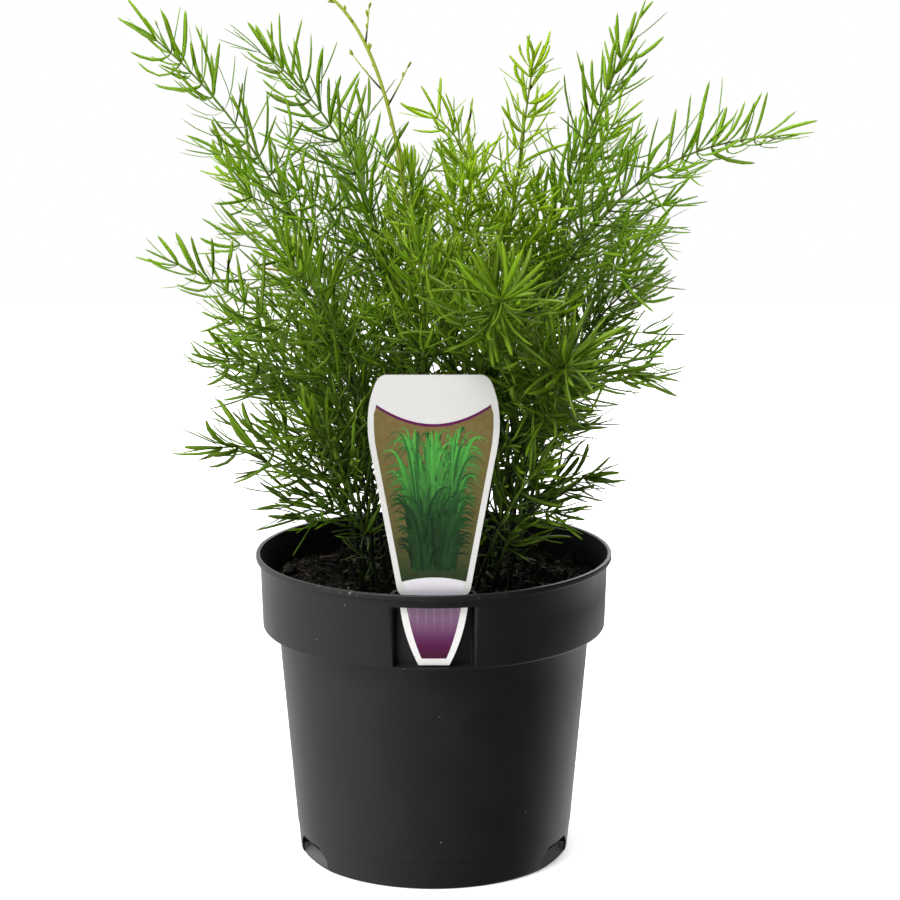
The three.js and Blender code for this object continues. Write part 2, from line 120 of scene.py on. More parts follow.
# Foot, bend and tip of each stem's curve, the reach of its longest side branch, the share of it with no
# branches, and its kind.
FRONDS = [
    ((-22, -6), (-37, -8, 313), (-126, -10, 389), 34, 0.3, "full"),
    ((-14, 6), (0, 18, 326), (-81, 30, 381), 38, 0.3, "full"),
    ((-8, -6), (2, -2, 379), (-51, 0, 411), 22, 0.3, "shoot"),
    ((6, 4), (52, 14, 312), (2, 20, 351), 34, 0.35, "pale"),
    ((16, -6), (32, -12, 283), (45, -16, 376), 34, 0.35, "pale"),
    ((20, 6), (34, 18, 264), (92, 26, 386), 36, 0.38, "full"),
    ((30, -4), (33, -10, 337), (153, -20, 346), 30, 0.4, "full"),
    ((-30, -12), (-20, -26, 243), (-115, -45, 291), 38, 0.25, "full"),
    ((-34, -24), (-30, -40, 211), (-95, -60, 210), 28, 0.3, "side"),
    ((-34, 2), (-29, -6, 248), (-99, -15, 241), 34, 0.25, "full"),
    ((36, -16), (34, -24, 252), (94, -35, 238), 24, 0.36, "low"),
    ((34, -28), (38, -36, 193), (71, -45, 192), 22, 0.3, "low"),
    ((26, -36), (30, -56, 182), (54, -66, 181), 20, 0.46, "low"),
    ((34, 8), (58, 6, 258), (98, 10, 274), 34, 0.42, "full"),
    ((12, -26), (18, -44, 262), (30, -112, 286), 32, 0.3, "star"),
    ((22, -20), (40, -46, 238), (58, -100, 254), 30, 0.25, "star"),
    ((-14, -22), (-30, -38, 262), (-64, -76, 297), 34, 0.25, "full"),
    ((-22, -34), (-38, -50, 205), (-54, -86, 226), 24, 0.3, "side"),
    ((14, -40), (34, -54, 192), (49, -84, 205), 22, 0.44, "low"),
    ((-2, -30), (-2, -38, 258), (-6, -68, 301), 34, 0.3, "full"),
    ((4, -14), (10, -20, 290), (17, -32, 329), 42, 0.35, "fine"),
    ((-4, 12), (-10, 26, 276), (-10, 44, 324), 42, 0.35, "fine"),
    ((-20, 22), (-50, 40, 270), (-100, 70, 323), 36, 0.3, "light"),
    ((-8, 28), (-20, 54, 276), (-41, 98, 332), 36, 0.3, "full"),
    ((4, 30), (10, 60, 270), (11, 110, 318), 38, 0.3, "full"),
    ((14, 24), (36, 46, 280), (87, 70, 342), 36, 0.3, "light"),
    ((28, 20), (60, 42, 256), (103, 66, 286), 34, 0.44, "full"),
    ((-32, 16), (-58, 34, 238), (-100, 50, 251), 38, 0.3, "full"),
    ((18, 38), (34, 74, 214), (62, 108, 230), 26, 0.44, "full"),
    ((-18, 38), (-34, 74, 218), (-58, 110, 232), 28, 0.3, "full"),
]
# Single side shoots of some fronds: the share up the stem, the way each points and its length.
TWIGS = {
    3: [(0.785, (0.12, -0.1, 0.98), 15), (0.67, (-0.62, 0.1, 0.62), 20), (0.64, (0.46, -0.3, 0.78), 19)],
    7: [(0.62, (0.73, -0.2, -0.65), 20)],
    9: [(0.34, (-0.85, -0.4, 0.3), 26), (0.44, (-0.75, -0.6, 0.0), 24)],
    10: [(0.26, (-0.9, -0.3, 0.35), 26)],
    18: [(0.36, (-0.75, -0.6, 0.15), 22)],
}


# --- Finishes ---


def maths(operation, turned=False):
    """A method of Value that adds one Math node, with its two numbers turned round if asked."""

    def method(self, other):
        pair = {0: other, 1: self} if turned else {0: self, 1: other}
        node = self.finish.node("ShaderNodeMath", {"operation": operation}, pair)
        return Value(self.finish, node.outputs[0])

    return method


class Value:
    """A number that varies over a surface. Arithmetic on it adds Math nodes."""

    def __init__(self, finish, socket):
        self.finish = finish
        self.socket = socket

    __add__ = __radd__ = maths("ADD")
    __sub__, __rsub__ = maths("SUBTRACT"), maths("SUBTRACT", True)
    __mul__ = __rmul__ = maths("MULTIPLY")
    __truediv__, __rtruediv__ = maths("DIVIDE"), maths("DIVIDE", True)
    __pow__ = maths("POWER")
    most = maths("MAXIMUM")
    pingpong = maths("PINGPONG")

    def rise(self, low, high):
        """0 below low, 1 above high and smooth between."""
        settings = {"interpolation_type": "SMOOTHSTEP"}
        node = self.finish.node("ShaderNodeMapRange", settings, {0: self, 1: low, 2: high, 3: 0.0, 4: 1.0})
        return Value(self.finish, node.outputs[0])


class Finish:
    """A node tree being filled: a material's, or the world's."""

    def __init__(self, tree):
        self.tree = tree
        tree.nodes.clear()

    def node(self, kind, settings=None, inputs=None):
        node = self.tree.nodes.new(kind)
        for key, setting in (settings or {}).items():
            if key == "stops":
                self._stops(node.color_ramp, setting)
            else:
                setattr(node, key, setting)
        for key, given in (inputs or {}).items():
            socket = node.inputs[key]
            if isinstance(given, Value):
                given = given.socket
            if isinstance(given, bpy.types.NodeSocket):
                self.tree.links.new(given, socket)
            elif isinstance(given, tuple) and len(given) == 3 and socket.type == "RGBA":
                socket.default_value = (*given, 1.0)
            else:
                socket.default_value = given
        return node

    @staticmethod
    def _stops(ramp, stops):
        while len(ramp.elements) > 1:
            ramp.elements.remove(ramp.elements[-1])
        ramp.elements[0].position, ramp.elements[0].color = stops[0][0], (*stops[0][1], 1)
        for position, colour in stops[1:]:
            ramp.elements.new(position).color = (*colour, 1)

    def place(self, space="Object"):
        """Where a point is on the object in metres, or in another space."""
        return self.node("ShaderNodeTexCoord").outputs[space]

    def axes(self, space="Object"):
        node = self.node("ShaderNodeSeparateXYZ", None, {0: self.place(space)})
        return [Value(self, socket) for socket in node.outputs]

    def marks(self, *names):
        """Numbers stored on the mesh."""
        nodes = [self.node("ShaderNodeAttribute", {"attribute_name": name}) for name in names]
        return [Value(self, node.outputs["Fac"]) for node in nodes]

    def grain(self, scale, detail=3.0, roughness=0.5, stretch=None):
        """Soft noise from 0 to 1."""
        vector = self.place()
        if stretch:
            vector = self.node("ShaderNodeMapping", None, {"Vector": vector, "Scale": stretch}).outputs[0]
        inputs = {"Vector": vector, "Scale": scale, "Detail": detail, "Roughness": roughness}
        return Value(self, self.node("ShaderNodeTexNoise", None, inputs).outputs["Fac"])

    def cells(self, scale):
        """The distance to the nearest of many scattered points."""
        node = self.node("ShaderNodeTexVoronoi", None, {"Vector": self.place(), "Scale": scale})
        return Value(self, node.outputs["Distance"])

    def mix(self, share, first, second):
        """A colour between two colours."""
        node = self.node("ShaderNodeMix", {"data_type": "RGBA"}, {0: share, 6: first, 7: second})
        return node.outputs[2]

    def over(self, colour, *layers):
        """A colour with others laid over it, each a share and a colour."""
        for share, other in layers:
            colour = self.mix(share, colour, other)
        return colour

    def shade(self, colour, amount):
        """A colour made lighter or darker by a varying amount."""
        settings = {"operation": "SCALE"}
        return self.node("ShaderNodeVectorMath", settings, {0: colour, "Scale": amount}).outputs[0]

    def relief(self, height, strength, distance):
        """A bumped normal from a height of 0 to 1."""
        inputs = {"Height": height, "Strength": strength, "Distance": distance}
        return self.node("ShaderNodeBump", None, inputs).outputs[0]

    def layer(self, share, first, second):
        """A shader between two shaders."""
        return self.node("ShaderNodeMixShader", None, {0: share, 1: first.outputs[0], 2: second.outputs[0]})

    def feed(self, **inputs):
        """Links varying values to the shader's sockets, and gives the material."""
        for key, given in inputs.items():
            socket = given.socket if isinstance(given, Value) else given
            self.tree.links.new(socket, self.shader.inputs[key.replace("_", " ").title()])
        return self.material


def new_finish(name, **fixed):
    """A material with one Principled shader. fixed gives the values that are the same all over."""
    material = bpy.data.materials.new(name)
    material.use_nodes = True
    finish = Finish(material.node_tree)
    named = {key.replace("_", " ").title().replace("Ior", "IOR"): given for key, given in fixed.items()}
    finish.material, finish.shader = material, finish.node("ShaderNodeBsdfPrincipled", None, named)
    finish.output = finish.node("ShaderNodeOutputMaterial", None, {"Surface": finish.shader.outputs[0]})
    return finish


def pot_plastic():
    """Black moulded plastic with a faint orange peel, scuffs and dust, and painted light on the sills at its
    drain openings: a paler grey, lighter on the pot's right.
    """
    finish = new_finish("pot_plastic", specular_ior_level=0.5)
    fine = finish.grain(1500, 2.0)
    broad = finish.grain(38, 4.0, 0.6)
    streaks = finish.grain(90, 4.0, 0.6, (1.0, 1.0, 0.12))
    specks = 1 - finish.cells(95).rise(0.010, 0.026)
    haze = finish.grain(900, 2.0, 0.7).rise(0.70, 0.78) * broad.rise(0.45, 0.7)
    x, y, z = finish.axes()
    # Painted light: the drain sills, up to about 5 mm high, get a paler grey that is lighter on the pot's right
    # side.
    inward = DRAIN_SILL_LOW_R + 0.0001 - (x * x + y * y) ** 0.5
    sill = inward.rise(0.0, 0.0006) * z.rise(0.0002, 0.0006) * (1 - z.rise(0.0042, 0.0056))
    colour = finish.mix(broad.rise(0.3, 0.75), (0.0048, 0.0048, 0.0050), (0.0075, 0.0073, 0.0072))
    sill_painted_light_colour = finish.mix(x.rise(-0.02, 0.02), (0.09, 0.088, 0.085), (0.18, 0.175, 0.17))
    worn = finish.grain(480, 3.0, 0.7).rise(0.60, 0.68) * broad.rise(0.45, 0.62) * z.rise(0.1442, 0.1454)
    colour = finish.over(
        colour, (haze * 0.35, (0.10, 0.095, 0.09)), (sill * (0.6 + broad * 0.4), sill_painted_light_colour),
        (specks * 0.9, (0.50, 0.48, 0.45)), (worn * 0.7, (0.30, 0.29, 0.27)))
    finish.feed(base_color=colour, roughness=0.40 + broad * 0.08 + streaks * 0.08)
    return finish.feed(normal=finish.relief(fine * 0.7 + streaks * 0.3, 0.12, 0.0002))


def pot_inside_painted_shade():
    """The pot's mat inner wall: a darker copy of the pot's plastic that paints shade into the mouth and the
    drain holes, and a little soiled low down.
    """
    finish = new_finish("pot_inside_painted_shade", specular_ior_level=0.06)
    broad = finish.grain(60, 4.0, 0.6)
    height = finish.axes()[2]
    soiled = (1 - height.rise(0.132, 0.141)) * broad.rise(0.35, 0.65)
    colour = finish.mix(broad, (0.0035, 0.0036, 0.0037), (0.0055, 0.0055, 0.0055))
    colour = finish.mix(soiled * 0.5, colour, (0.014, 0.011, 0.008))
    finish.feed(base_color=colour, roughness=0.52 + broad * 0.2)
    return finish.feed(normal=finish.relief(broad, 0.1, 0.0005))


def potting_mix():
    """Crumbs of composted bark and peat, darkened all over as painted shade for the shadow the fronds cast on
    them.
    """
    finish = new_finish("potting_mix", specular_ior_level=0.03)
    clumps = finish.grain(160, 6.0, 0.7)
    crumbs = finish.grain(900, 4.0, 0.6)
    # Painted shade: these colours are kept very dark for the shadow of the fronds over the mix.
    colour = finish.mix(clumps.rise(0.35, 0.7), (0.0016, 0.0016, 0.0013), (0.0125, 0.0112, 0.0082))
    colour = finish.mix(crumbs.rise(0.56, 0.74) * clumps.rise(0.3, 0.6), colour, (0.120, 0.105, 0.074))
    finish.feed(base_color=colour, roughness=0.75 + crumbs * 0.2)
    return finish.feed(normal=finish.relief(crumbs * 0.6 + clumps * 0.4, 0.8, 0.0012))


def bark():
    """Bark chips, each a shade of its own."""
    finish = new_finish("bark_chip", specular_ior_level=0.06)
    tone, = finish.marks("tone")
    fibre = finish.grain(700, 4.0, 0.7, (1.0, 0.35, 1.0))
    colour = finish.mix(tone, (0.0020, 0.0019, 0.0015), (0.170, 0.138, 0.085))
    colour = finish.mix(fibre.rise(0.4, 0.75) * 0.5, colour, (0.010, 0.007, 0.005))
    finish.feed(base_color=colour, roughness=0.62 + fibre * 0.25)
    return finish.feed(normal=finish.relief(fibre, 0.6, 0.0006))


def perlite():
    """Pale crumbs of perlite and sand."""
    finish = new_finish("perlite", specular_ior_level=0.3)
    pits = finish.cells(2200)
    tone, = finish.marks("tone")
    colour = finish.mix(tone, (0.10, 0.08, 0.055), (0.40, 0.36, 0.28))
    finish.feed(base_color=finish.shade(colour, 0.6 + pits * 0.6), roughness=0.8 + pits * 0.1)
    return finish.feed(normal=finish.relief(pits, 0.6, 0.0003))


def needle_green():
    """Needles: each its own green, with painted shade that darkens those deep inside the plant, paler along the
    rib and at a young tip, and lit through from behind.
    """
    finish = new_finish("needle_green", specular_ior_level=0.18)
    tone, along, youth, faded, rib = finish.marks("tone", "along", "youth", "faded", "rib")
    mottle = finish.grain(80, 1.0)
    dark = finish.mix(tone, (0.012, 0.040, 0.002), (0.200, 0.370, 0.012))
    pale = finish.mix(tone, (0.180, 0.330, 0.006), (0.400, 0.560, 0.018))
    colour = finish.over(
        finish.mix(youth, dark, pale), (along.rise(0.5, 1.0) * 0.25, (0.280, 0.440, 0.012)),
        (rib * 0.14, (0.300, 0.450, 0.040)), (faded, (0.420, 0.300, 0.020)))
    patchy = 0.82 + mottle * 0.36
    green = (0.04 + tone * 0.33) * (1 - youth) + (0.33 + tone * 0.23) * youth
    through = green * patchy * 0.857
    colour = finish.shade(colour, patchy * 0.64 / (1 - through))
    finish.feed(base_color=colour, roughness=0.36 + mottle * 0.16)
    grown = finish.node("ShaderNodeBsdfTranslucent", None, {"Color": (0.35, 0.66, 0.021)})
    young = finish.node("ShaderNodeBsdfTranslucent", None, {"Color": (0.47, 0.66, 0.021)})
    whole = finish.layer(through, finish.shader, finish.layer(youth, grown, young))
    finish.tree.links.new(whole.outputs[0], finish.output.inputs["Surface"])
    return finish.material


def stem_green():
    """Ribbed green stems with painted shade that darkens them towards the foot, and brown scales."""
    finish = new_finish("stem_green", specular_ior_level=0.2)
    along, youth, faded = finish.marks("along", "youth", "faded")
    ribs = finish.grain(1400, 3.0, 0.6, (1.0, 1.0, 0.06))
    old = finish.mix(ribs, (0.036, 0.085, 0.006), (0.095, 0.180, 0.014))
    new = finish.mix(ribs, (0.260, 0.310, 0.030), (0.420, 0.470, 0.070))
    # Painted shade: the lower part of each stem is darkened.
    low = 1 - along.rise(0.2, 0.68), (0.008, 0.014, 0.004)
    colour = finish.over(finish.mix(youth, old, new), low, (faded, (0.120, 0.060, 0.018)))
    finish.feed(base_color=colour, roughness=0.48 + ribs * 0.15)
    return finish.feed(normal=finish.relief(ribs, 0.4, 0.0003))


def sheet_plastic():
    """The label's white sheet, very slightly rippled, with painted light that makes its tongue paler than the
    rest, and specks of dirt on its tongue.
    """
    finish = new_finish("label_white", specular_ior_level=0.5)
    ripple = finish.grain(60, 2.0)
    tongue = 1 - finish.axes()[2].rise(0.138, 0.152)
    specks = finish.grain(1300, 3.0, 0.7).rise(0.66, 0.72) * tongue
    colour = finish.mix(ripple, (0.555, 0.55, 0.535), (0.590, 0.585, 0.57))
    # Painted light: the tongue, down in the pot's recess, gets a paler white than the rest of the sheet.
    colour = finish.over(colour, (tongue, (0.70, 0.69, 0.67)), (specks * 0.7, (0.16, 0.13, 0.10)))
    finish.feed(base_color=colour, roughness=0.30 + ripple * 0.12)
    return finish.feed(normal=finish.relief(ripple, 0.10, 0.0006))


def printed(name, low_z, high_z, stops, grain_scale, grain_share, flute_highlight=0.0):
    """A print that runs through colours from a low height to a high one, with a grain and, if asked, pale lines
    over it that are a painted highlight along flutes.
    """
    finish = new_finish(name, specular_ior_level=0.35)
    x, _, z = finish.axes()
    height = (z - low_z) / (high_z - low_z)
    colour = finish.node("ShaderNodeValToRGB", {"stops": stops}, {0: height}).outputs[0]
    # Painted highlight: pale lines at even steps across the print's upper part, where flute ridges would catch
    # the light.
    if flute_highlight:
        from_line = (x + 0.0036).pingpong(0.001875)
        line = (1 - from_line.rise(0.0001, 0.0007)) * flute_highlight * height.rise(0.25, 0.6)
        colour = finish.mix(line, colour, (0.75, 0.72, 0.76))
    mottle = finish.grain(grain_scale, 4.0, 0.65)
    finish.feed(base_color=finish.shade(colour, 1 - grain_share / 2 + mottle * grain_share))
    return finish.feed(roughness=0.28 + mottle * 0.12)


def leaf_print():
    """Printed leaves in a range of greens that darken towards their foot."""
    finish = new_finish("leaf_print", specular_ior_level=0.35)
    tone, = finish.marks("tone")
    mottle = finish.grain(1200, 3.0)
    light = (0.24 + finish.axes()[2].rise(0.168, 0.232) * 0.96) * (0.7 + mottle * 0.6)
    colour = finish.mix(tone, (0.003, 0.036, 0.010), (0.062, 0.330, 0.040))
    return finish.feed(base_color=finish.shade(colour, light), roughness=0.30 + mottle * 0.1)


# --- Shapes ---


class Shape:
    """A mesh being gathered, with numbers marked on its points."""

    def __init__(self):
        self.points = []
        self.faces = []
        self.slots = []
        self.marks = {name: [] for name in ("tone", "along", "youth", "faded", "rib")}

    def add(self, points, faces, slot=0, **marks):
        """Adds a patch. A mark is one number for all its points or a list of one each."""
        base = len(self.points)
        self.points.extend(points)
        self.faces.extend(tuple(base + i for i in face) for face in faces)
        self.slots.extend([slot] * len(faces))
        for name, kept in self.marks.items():
            given = marks.get(name, 0.0)
            kept.extend(given if isinstance(given, list) else [given] * len(points))

    def make(self, name, materials, smooth=True):
        mesh = bpy.data.meshes.new(name)
        mesh.from_pydata([tuple(p) for p in self.points], [], self.faces)
        for material in materials:
            mesh.materials.append(material)
        mesh.polygons.foreach_set("material_index", self.slots)
        mesh.polygons.foreach_set("use_smooth", [smooth] * len(self.faces))
        for mark, kept in self.marks.items():
            mesh.attributes.new(mark, "FLOAT", "POINT").data.foreach_set("value", kept)
        mesh.update()
        return put(name, mesh)


def put(name, data):
    """Puts a mesh, a light or a camera into the scene."""
    piece = bpy.data.objects.new(name, data)
    bpy.context.scene.collection.objects.link(piece)
    return piece


def ring_faces(rings, sides):
    """Quads between closed rings of points, each with as many points as sides."""
    faces = []
    for base in range(0, (rings - 1) * sides, sides):
        for k in range(sides):
            a, b = base + k, base + (k + 1) % sides
            faces.append((a, b, b + sides, a + sides))
    return faces


def spike_faces(rings, sides):
    """Ring faces that end in a fan round one last point, with a flat face over the first ring."""
    tip = rings * sides
    fan = [(tip - sides + k, tip - sides + (k + 1) % sides, tip) for k in range(sides)]
    return ring_faces(rings, sides) + fan + [tuple(reversed(range(sides)))]


def stray(dice, reach=1.0):
    """A random offset, each part of it up to reach either way."""
    return Vector([dice.uniform(-reach, reach) for _ in range(3)])


def full_turn(count):
    """Angles evenly apart, all the way round."""
    return [2 * math.pi * k / count for k in range(count)]


def sideways(axis):
    """A direction at right angles to an axis."""
    other = Vector((1, 0, 0)) if abs(axis.z) > 0.9 else UP
    return axis.cross(other).normalized()


def leaving(axis, angle, turn):
    """A direction that leaves an axis at an angle, turned round that axis from its upper side."""
    across = sideways(axis)
    over = across.cross(axis)
    out = over * math.cos(turn) + across * math.sin(turn)
    return axis * math.cos(angle) + out * math.sin(angle)


class Bend:
    """A curve with one bend, from a start to an end."""

    def __init__(self, start, bend, end):
        self.start, self.bend, self.end = Vector(start), Vector(bend), Vector(end)
        self.length = sum((self.at((i + 1) / 20) - self.at(i / 20)).length for i in range(20))

    def at(self, share):
        back = 1 - share
        return self.start * back * back + self.bend * 2 * back * share + self.end * share * share

    def along(self, share):
        return ((self.bend - self.start) * (1 - share) + (self.end - self.bend) * share).normalized()


def tube(shape, curve, steps, sides, radius, slot, first=0.0, **marks):
    """A round tapered stem along a curve. radius is a function of the share along it."""
    points, alongs = [], []
    across = sideways(curve.along(0))
    for i in range(steps + 1):
        share = i / steps
        axis = curve.along(share)
        across = (across - axis * across.dot(axis)).normalized()
        over = axis.cross(across)
        centre = curve.at(share)
        for turn in full_turn(sides):
            points.append(centre + (across * math.cos(turn) + over * math.sin(turn)) * radius(share))
            alongs.append(first + (1 - first) * share)
    points.append(curve.at(1) + curve.along(1) * radius(1) * 2)
    shape.add(points, spike_faces(steps + 1, sides), slot, along=alongs + [1.0], **marks)


NEEDLE_RINGS = ((0.0, 0.32), (0.10, 0.58), (0.30, 0.90), (0.55, 1.0), (0.80, 0.92), (0.94, 0.60))


def needle(shape, root, direction, lift, length, width, dice, **marks):
    """One flat narrow needle that sets off in a direction and curves towards lift."""
    face = (UP * 0.7 + lift * 0.5 + stray(dice, 0.9)).normalized()
    reach = length / (direction + lift).length
    direction, lift = direction - lift * NEEDLE_CURL, lift * (1 + NEEDLE_CURL)
    points, alongs = [], []
    for share, swell in NEEDLE_RINGS:
        axis = (direction + lift * 2 * share).normalized()
        side = axis.cross(face).normalized()
        keel = side.cross(axis)
        centre = root + (direction * share + lift * share * share) * reach
        half = width * swell / 2
        points += [centre + side * half, centre + keel * half * 0.45, centre - side * half]
        alongs += [share] * 3
    points.append(root + (direction + lift) * reach)
    rings = len(NEEDLE_RINGS)
    ribs = [0.0, 1.0, 0.0] * rings + [0.5]
    shape.add(points, spike_faces(rings, 3), 0, along=alongs + [1.0], rib=ribs, **marks)


# --- Fronds ---


def is_open(point):
    """True where a needle or a branch may go: off the mix, the pot and the label, and not too far forward."""
    beyond = max(0, math.hypot(point.x, max(0, point.y)) - 50 * MM)
    low = point.z < SOIL_Z + 8 * MM + 0.95 * beyond
    at_rim = point.z < POT_H + 2 * MM and math.hypot(point.x, point.y) > 74 * MM
    in_front = point.y < LABEL_Y + 6 * MM and abs(point.x) < LABEL_WIDE + 2 * MM
    at_label = in_front and point.z < LABEL_TOP_Z + 4 * MM
    return not (low or at_rim or at_label or point.y < FRONT_EDGE)


def daylight(point):
    """From 0 deep in the plant, low and near its middle, to 1 at its outside and top: how much light reaches a
    point, used to paint shade into the needles' green and to set their length.
    """
    height = min(1, max(0, (point.z - POT_H) / (170 * MM)))
    out = min(1, math.hypot(point.x, point.y) / (110 * MM))
    return 0.78 * height + 0.22 * out * (0.4 + 0.6 * height)


def away(point):
    """The level direction out from the pot's axis, fading to nothing near it."""
    out = Vector((point.x, point.y, 0))
    return out / max(out.length, 50 * MM)


def evenly(i, count):
    """Place i of a count, from -1 to 1."""
    return 2 * i / (count - 1) - 1 if count > 1 else 0


def bunch(shape, node, axis, turn, angle, count, length, width, dice, look, sweep, rise,
          outward=0.1, bow=0.1):
    """Needles that leave one side of a node at different angles and curve up, outwards and along the stem."""
    light = daylight(node)
    # Painted shade: needles low and deep in the plant get a darker tone, scaled by the kind's tone.
    shaded_bunch_tone = (0.07 + light * 0.92) * look["tone"] + dice.gauss(0, 0.10)
    curl = stray(dice, 0.14) + away(node) * outward
    ranks = dice.sample(range(count), count)
    for i, rank in enumerate(ranks):
        swing = evenly(i, count) + dice.uniform(-0.3, 0.3)
        off = math.radians(max(8, angle + look["fan"] * evenly(rank, count) + dice.uniform(-9, 9)))
        way = (leaving(axis, off, turn + swing * sweep) + away(node) * outward).normalized()
        lift = UP * rise * dice.uniform(0.3, 1.4) + axis * bow * dice.uniform(0.2, 1.4) + curl
        lift += stray(dice) * look["wild"]
        reach = length * (0.80 + 0.20 * light) * dice.uniform(0.68, 1.14)
        thick = width * dice.uniform(0.62, 1.14)
        tone = min(1, max(0, dice.gauss(shaded_bunch_tone, 0.12)))
        faded = float(dice.random() < FADED_SHARE)
        if is_open(node + (way + lift).normalized() * reach) and is_open(node + way * reach * 0.5):
            needle(shape, node, way, lift, reach, thick, dice, tone=tone, youth=look["youth"], faded=faded)


def spur(shape, node, out, axis):
    """The small brown scale under a node."""
    scale = Bend(node - axis * 0.4 * MM, node + out * 0.9 * MM, node + out * 2.0 * MM + axis * 0.4 * MM)
    tube(shape, scale, 2, 4, lambda share: 0.42 * MM * (1 - 0.8 * share), 1, tone=0.5, youth=0.0, faded=1.0)


def tuft(shape, node, axis, order, length, width, angle, dice, look):
    """The two bunches at a node: over and under a leaning stem, or on alternating sides of a steep one."""
    steep = axis.z > 0.9
    side = GOLDEN * order if steep else dice.uniform(-0.5, 0.5)
    for under in (0, 1):
        turn = side + math.pi * under + dice.uniform(-0.35, 0.35)
        tilt = angle if steep else angle - 4 + 22 * under
        reach = length * (1.14 - (0.08 if steep else 0.26) * under)
        rise = look["climb"] * (1 if steep else 0.7 + 0.4 * under)
        outward = 0.10 if steep else 0.16 * under
        bow = 0.12 if steep else 0.05 + 0.28 * under
        count = max(1, look["count"] + dice.choice((-1, 0, 0, 1)))
        bunch(shape, node, axis, turn, tilt, count, reach, width, dice, look,
              look["sweep"], rise, outward, bow)
    spur(shape, node, leaving(axis, math.radians(50), side + math.pi / 2), axis)


def branch(shape, start, direction, axis, length, dice, look):
    """A side branch with needles round each of its nodes."""
    rise = UP * length * dice.uniform(-0.10, 0.20) + axis * length * 0.08 + away(start) * length * 0.10
    curve = Bend(start, start + direction * length * 0.55, start + direction * length + rise)
    if not is_open(curve.at(0.6)) or not is_open(curve.at(1)):
        return
    marks = {"tone": dice.random(), "youth": look["youth"]}
    tube(shape, curve, 6, 5, lambda share: BRANCH_R * (1.1 - 0.5 * share), 1, 0.45, **marks)
    count = max(1, round(length / BRANCH_NODE_GAP))
    turn = dice.uniform(0, 2 * math.pi)
    reach, width = BRANCH_NEEDLE_L * look["needle"], BRANCH_NEEDLE_W * look["broad"]
    angle = look["angle"] - 2
    for i in range(1, count + 1):
        node, way, side = curve.at(i / count), curve.along(i / count), turn + GOLDEN * i
        size = reach * dice.uniform(0.85, 1.1)
        bunch(shape, node, way, side, angle, dice.choice((2, 3)), size, width, dice, look, 1.6, 0.16, 0.16)
    bunch(shape, curve.at(1), curve.along(1), turn, 26, 3, reach, width, dice, look, 2.4, 0.16)


def branch_length(spread, share):
    """Branches are longest a little way up a frond and short at its tip."""
    swell = 0.55 + 0.45 * math.sin(math.pi * min(1, share + 0.3))
    return spread * swell * (1.1 - 0.75 * share)


def bud(shape, node, way, count, dice):
    """A cluster of needles that are just opening."""
    for _ in range(count):
        spread = (way + stray(dice, 0.4)).normalized()
        length, faded = BUD_L * dice.uniform(0.6, 1.1), dice.uniform(0, 0.5)
        needle(shape, node, spread, UP * 0.1, length, BUD_W, dice, tone=0.5, youth=1.0, faded=faded)


def shoot_top(shape, curve, from_share, twigs, dice):
    """The bare top of a new shoot: buds at its nodes and a few thin budded side shoots."""
    count = 11
    for i in range(count):
        share = from_share + (1 - from_share) * (i + 0.5) / count
        node, axis = curve.at(share), curve.along(share)
        bud(shape, node, leaving(axis, math.radians(22), GOLDEN * i), 2 if i < count - 4 else 4, dice)
    for share, direction, length in twigs:
        node, way = curve.at(share), Vector(direction).normalized()
        reach = length * MM
        side = Bend(node, node + way * reach * 0.5, node + way * reach + UP * reach * 0.12)
        tube(shape, side, 5, 5, lambda s: 0.5 * MM * (1 - 0.4 * s), 1, tone=0.5, youth=1.0)
        for s in (0.45, 0.75):
            bud(shape, side.at(s), side.along(s), 1, dice)
        bud(shape, side.at(1), side.along(1), 4, dice)
    bud(shape, curve.at(1), curve.along(1), 6, dice)


def node_shares(curve, start, end, gap, tip_gap=TIP_NODE_GAP):
    """Shares along a stem where its nodes sit: evenly apart, and closer together near the tip."""
    shares = []
    share = start
    while share < end:
        shares.append(share)
        near_tip = max(0, (share - 0.72) / 0.28)
        share += (gap + (tip_gap - gap) * near_tip) / curve.length
    return shares


# How a frond looks: how young it is and how light its needles are painted (the low and rosette kinds
# are darker, a painted shade), the size of its needles and branches, how many needles a bunch has, how far
# they swing round the stem, their angle to it and how far apart they fan in degrees, how much they climb,
# how far apart the nodes are, how broad its needles are, how long the needles at its very tip are and how
# wide those open, and how unlike each other its needles lie.
FULL = {
    "youth": 0.0, "tone": 1.0, "needle": 1.0, "branches": 1.0, "count": 3, "sweep": 0.8, "angle": 57,
    "fan": 18, "climb": 0.38, "gap": 1.0, "broad": 1.0, "end": 0.76, "open": 24, "wild": 0.18,
}
KINDS = {
    "full": FULL,
    "low": dict(FULL, tone=0.8, needle=1.05, branches=0.55, angle=38, fan=15, climb=0.1, gap=1.15),
    "side": dict(FULL, needle=1.12, angle=46, climb=0.25, broad=1.2),
    "fine": dict(FULL, youth=0.36, needle=0.76, angle=64, fan=24, climb=0.2, wild=0.32),
    "pale": dict(FULL, youth=0.74, needle=0.84, branches=0.8, angle=62, climb=0.22, end=0.80,
                 open=40, wild=0.26),
    "light": dict(FULL, youth=0.30, needle=0.95, climb=0.3),
    "shoot": dict(FULL, youth=0.50, needle=0.75, branches=0.9, climb=0.3),
    "star": dict(FULL, tone=0.70, needle=1.36, count=6, sweep=1.3, angle=54, fan=26, climb=0.06,
                 broad=1.16, end=0.85, open=44, wild=0.30),
}


def low_needles(shape, curve, end, dice, look):
    """Drooping needles on the lower part of a stem, under its first full tuft."""
    for i, share in enumerate(node_shares(curve, LOW_START, end, NODE_GAP * 1.1)):
        node, axis = curve.at(share), curve.along(share)
        reach = NEEDLE_L * dice.uniform(0.50, 0.90)
        bunch(shape, node, axis, GOLDEN * i, 62, 3, reach, BRANCH_NEEDLE_W, dice, look, 1.4, -0.12, 0.14)


